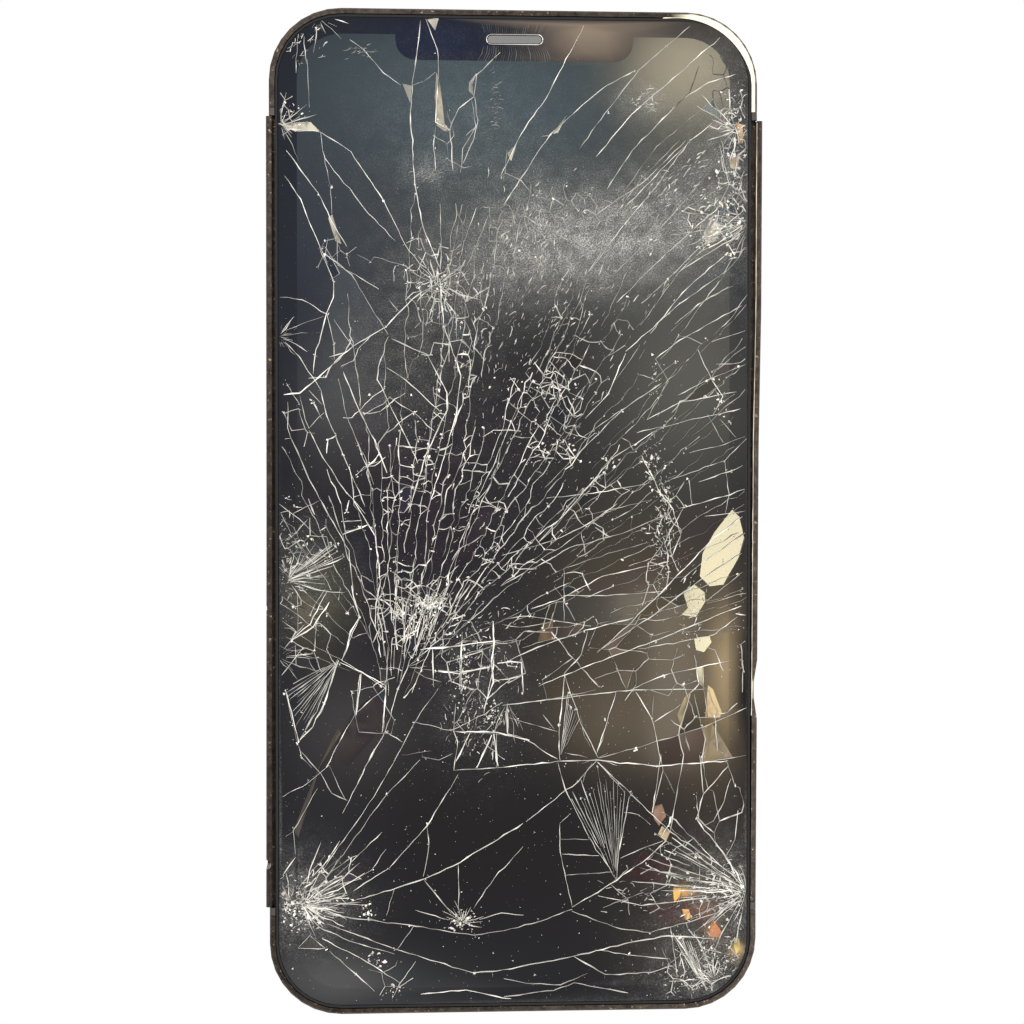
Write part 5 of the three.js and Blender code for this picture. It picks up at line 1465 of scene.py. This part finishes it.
# Heaps of larger flakes: x, y, half sizes on the sheet, how many, largest reach in millimetres
CHUNKS = [
    (738, 118, 14, 34, 60, 0.6),
    (732, 185, 18, 26, 60, 0.6),
    (718, 222, 18, 24, 70, 0.55),
    (436, 285, 16, 20, 50, 0.4),
    (430, 604, 10, 8, 40, 0.6),
    (412, 630, 14, 30, 40, 0.35),
    (460, 668, 6, 26, 40, 0.5),
    (488, 712, 8, 10, 20, 0.5),
    (290, 906, 14, 12, 60, 0.5),
    (742, 884, 12, 12, 50, 0.5),
    (722, 955, 24, 24, 50, 0.5),
    (650, 458, 6, 10, 14, 0.6),
    (664, 505, 8, 34, 50, 0.45),
    (540, 385, 36, 10, 40, 0.4),
    (425, 440, 16, 40, 40, 0.4),
    (310, 24, 14, 12, 30, 0.5),
    (296, 122, 14, 10, 30, 0.5),
    (298, 540, 18, 40, 40, 0.35),
    (459, 921, 10, 7, 30, 0.4),
    (560, 440, 30, 20, 30, 0.4),
    (610, 460, 12, 10, 16, 0.4),
    (655, 375, 8, 18, 24, 0.4),
    (722, 390, 6, 20, 20, 0.4),
    (300, 918, 16, 12, 60, 0.6),
    (364, 913, 8, 6, 30, 0.5),
    (373, 962, 7, 6, 22, 0.5),
    (390, 990, 8, 7, 22, 0.45),
    (460, 921, 10, 6, 24, 0.6),
]


def crumb(heap, x, y, size, glow):
    verts, faces, tints = heap
    first = len(verts)
    spin = rng.uniform(0, math.tau)
    for k in range(3):
        angle = spin + k * math.tau / 3 + rng.uniform(-0.5, 0.5)
        reach = size * rng.uniform(0.3, 0.7)
        verts.append((x + reach * math.cos(angle), y + reach * math.sin(angle), GLASS_TOP - CRUMB_ROOT))
    verts.append((x + rng.uniform(-0.2, 0.2) * size, y + rng.uniform(-0.2, 0.2) * size,
                  rng.uniform(GLASS_LIMIT, RIDGE_TOP)))
    faces.extend([(first, first + 2, first + 1), (first, first + 1, first + 3),
                  (first + 1, first + 2, first + 3), (first + 2, first, first + 3)])
    tints.extend([cream(glow)] * 4)


def flake(heap, x, y, size, glow):
    verts, faces, tints = heap
    first = len(verts)
    count = rng.randint(5, 8)
    spin, squash = rng.uniform(0, math.tau), rng.uniform(0.35, 1)
    for k in range(count):
        angle = k * math.tau / count + rng.uniform(-0.3, 0.3)
        reach = size * rng.uniform(0.2, 1)
        u, v = reach * math.cos(angle), reach * math.sin(angle) * squash
        verts.append((x + u * math.cos(spin) - v * math.sin(spin),
                      y + u * math.sin(spin) + v * math.cos(spin), rng.uniform(GLASS_TOP, GLASS_LIMIT)))
        tints.append(tuple(c * glow * rng.uniform(0.5, 1) for c in CREAM))
    verts.extend([(x, y, RIDGE_TOP - rng.uniform(0, 0.02)), (x, y, GLASS_TOP - CRUMB_ROOT)])
    tints.extend([cream(glow)] * 2)
    for k in range(count):
        a, b = first + k, first + (k + 1) % count
        faces.extend([(a, b, first + count), (b, a, first + count + 1)])


def strewn(places, spread):
    """Points strewn round each place on the glass, with the place's largest size."""
    for x, y, half_x, half_y, count, size in places:
        for _ in range(count):
            gx, gy = on_glass(rng.gauss(x, half_x * spread), rng.gauss(y, half_y * spread))
            if on_cover(gx, gy, CRUMB_MARGIN):
                yield gx, gy, size


def build_crumbs():
    heap = [], [], []
    for gx, gy, size in strewn(CRUSHED, 0.7):
        crumb(heap, gx, gy, size * rng.uniform(0.3, 1), rng.uniform(0.4, 1))
    for gx, gy, size in strewn(CHUNKS, 0.6):
        flake(heap, gx, gy, size * (0.2 + 0.8 * rng.random() ** 2), rng.uniform(0.35, 1))
    for px, py in flecks:
        gx, gy = on_glass(px, py)
        if on_cover(gx, gy, CRUMB_MARGIN):
            spread = 0.08 + 0.3 * rng.random() ** 2
            for _ in range(rng.randint(2, 4)):
                flake(heap, rng.gauss(gx, spread), rng.gauss(gy, spread),
                      0.08 + 0.3 * rng.random() ** 3, rng.uniform(0.5, 1))
    make_broken("glass_crumbs", *heap)


def build_dust():
    heap = [], [], []
    while len(heap[1]) < 4 * SPECKS:
        px, py = rng.uniform(*SHEET_X), rng.uniform(*SHEET_Y)
        if rng.random() > sum((weight * ellipse(px, py, *place) for weight, *place in DUSTY), STRAY):
            continue
        gx, gy = on_glass(px, py)
        if on_cover(gx, gy, SPECK_MARGIN) and not in_slot(gx, gy):
            crumb(heap, gx, gy, 0.12 + 0.26 * rng.random() ** 4, rng.uniform(0.2, 0.9))
    make_broken("dust_specks", *heap)


build_crumbs()
build_dust()


# Studio, in metres

CARD_Z = 0.607
FLOOR_HALF = 2.0


def card(name, x, y, z, width, height, colour, strength, aim):
    data = bpy.data.lights.new(name, "AREA")
    data.shape = "RECTANGLE"
    data.size = width
    data.size_y = height
    data.color = colour
    data.energy = strength
    lamp = add_object(name, data)
    lamp.location = (x, y, z)
    lamp.rotation_euler = (Vector(aim) - Vector((x, y, z))).to_track_quat("-Z", "Y").to_euler()


def seen_white(tree, lit, kind, output):
    """Shows plain white to the camera and leaves the light that falls on things to the shader lit."""
    white = tree.nodes.new(kind)
    white.inputs["Color"].default_value = (1, 1, 1, 1)
    white.inputs["Strength"].default_value = 1.0
    choose = tree.nodes.new("ShaderNodeMixShader")
    rays = tree.nodes.new("ShaderNodeLightPath").outputs["Is Camera Ray"]
    for socket, source in zip(choose.inputs, (rays, lit.outputs[0], white.outputs[0])):
        tree.links.new(source, socket)
    tree.links.new(choose.outputs[0], tree.nodes[output].inputs["Surface"])


card("key_light", -0.45, 0.45, 0.75, 0.5, 0.5, (1, 0.98, 0.95), 14, (0, 0, 0))
card("fill_light", 0.55, -0.35, 0.7, 0.5, 0.5, (1, 0.97, 0.93), 9, (0, 0, 0))
card("corner_card", 0.110, 0.168, CARD_Z, 0.04, 0.035, (1, 0.95, 0.82), 0.004, (0.110, 0.168, 0))
card("side_card", 0.106, -0.076, CARD_Z, 0.02, 0.075, (1, 0.84, 0.62), 0.012, (0.106, -0.076, 0))
card("lift_lamp", 0.205, -0.02, CARD_Z, 0.06, 0.1, (1, 0.9, 0.6), 0.4, (0.205, -0.02, 0))

world = bpy.data.worlds.new("studio")
bpy.context.scene.world = world
world.use_nodes = True
ground = world.node_tree.nodes["Background"]
ground.inputs["Color"].default_value = (0.9, 0.95, 1.0, 1)
ground.inputs["Strength"].default_value = 0.2
seen_white(world.node_tree, ground, "ShaderNodeBackground", "World Output")

floor_z = cad_box[0][2]
floor_mesh = bpy.data.meshes.new("floor")
turns = ((-1, -1), (1, -1), (1, 1), (-1, 1))
floor_corners = [(sx * FLOOR_HALF, sy * FLOOR_HALF, floor_z) for sx, sy in turns]
floor_mesh.from_pydata(floor_corners, [], [(0, 1, 2, 3)])
floor_material = shader("floor_white", (0.85, 0.85, 0.85), 0.9)
floor_tree = floor_material.node_tree
seen_white(floor_tree, floor_tree.nodes["Principled BSDF"], "ShaderNodeEmission", "Material Output")
floor_mesh.materials.append(floor_material)
floor = add_object("floor", floor_mesh)

camera_data = bpy.data.cameras.new("camera")
camera_data.sensor_width = 36
camera_data.lens = 82.47
camera = add_object("camera", camera_data)
camera.location = (-0.02351, 0.00514, 0.350)
camera.rotation_euler = (-0.0148, -0.0674, 0.0002)
bpy.context.scene.camera = camera
bpy.context.scene.view_settings.view_transform = "Standard"
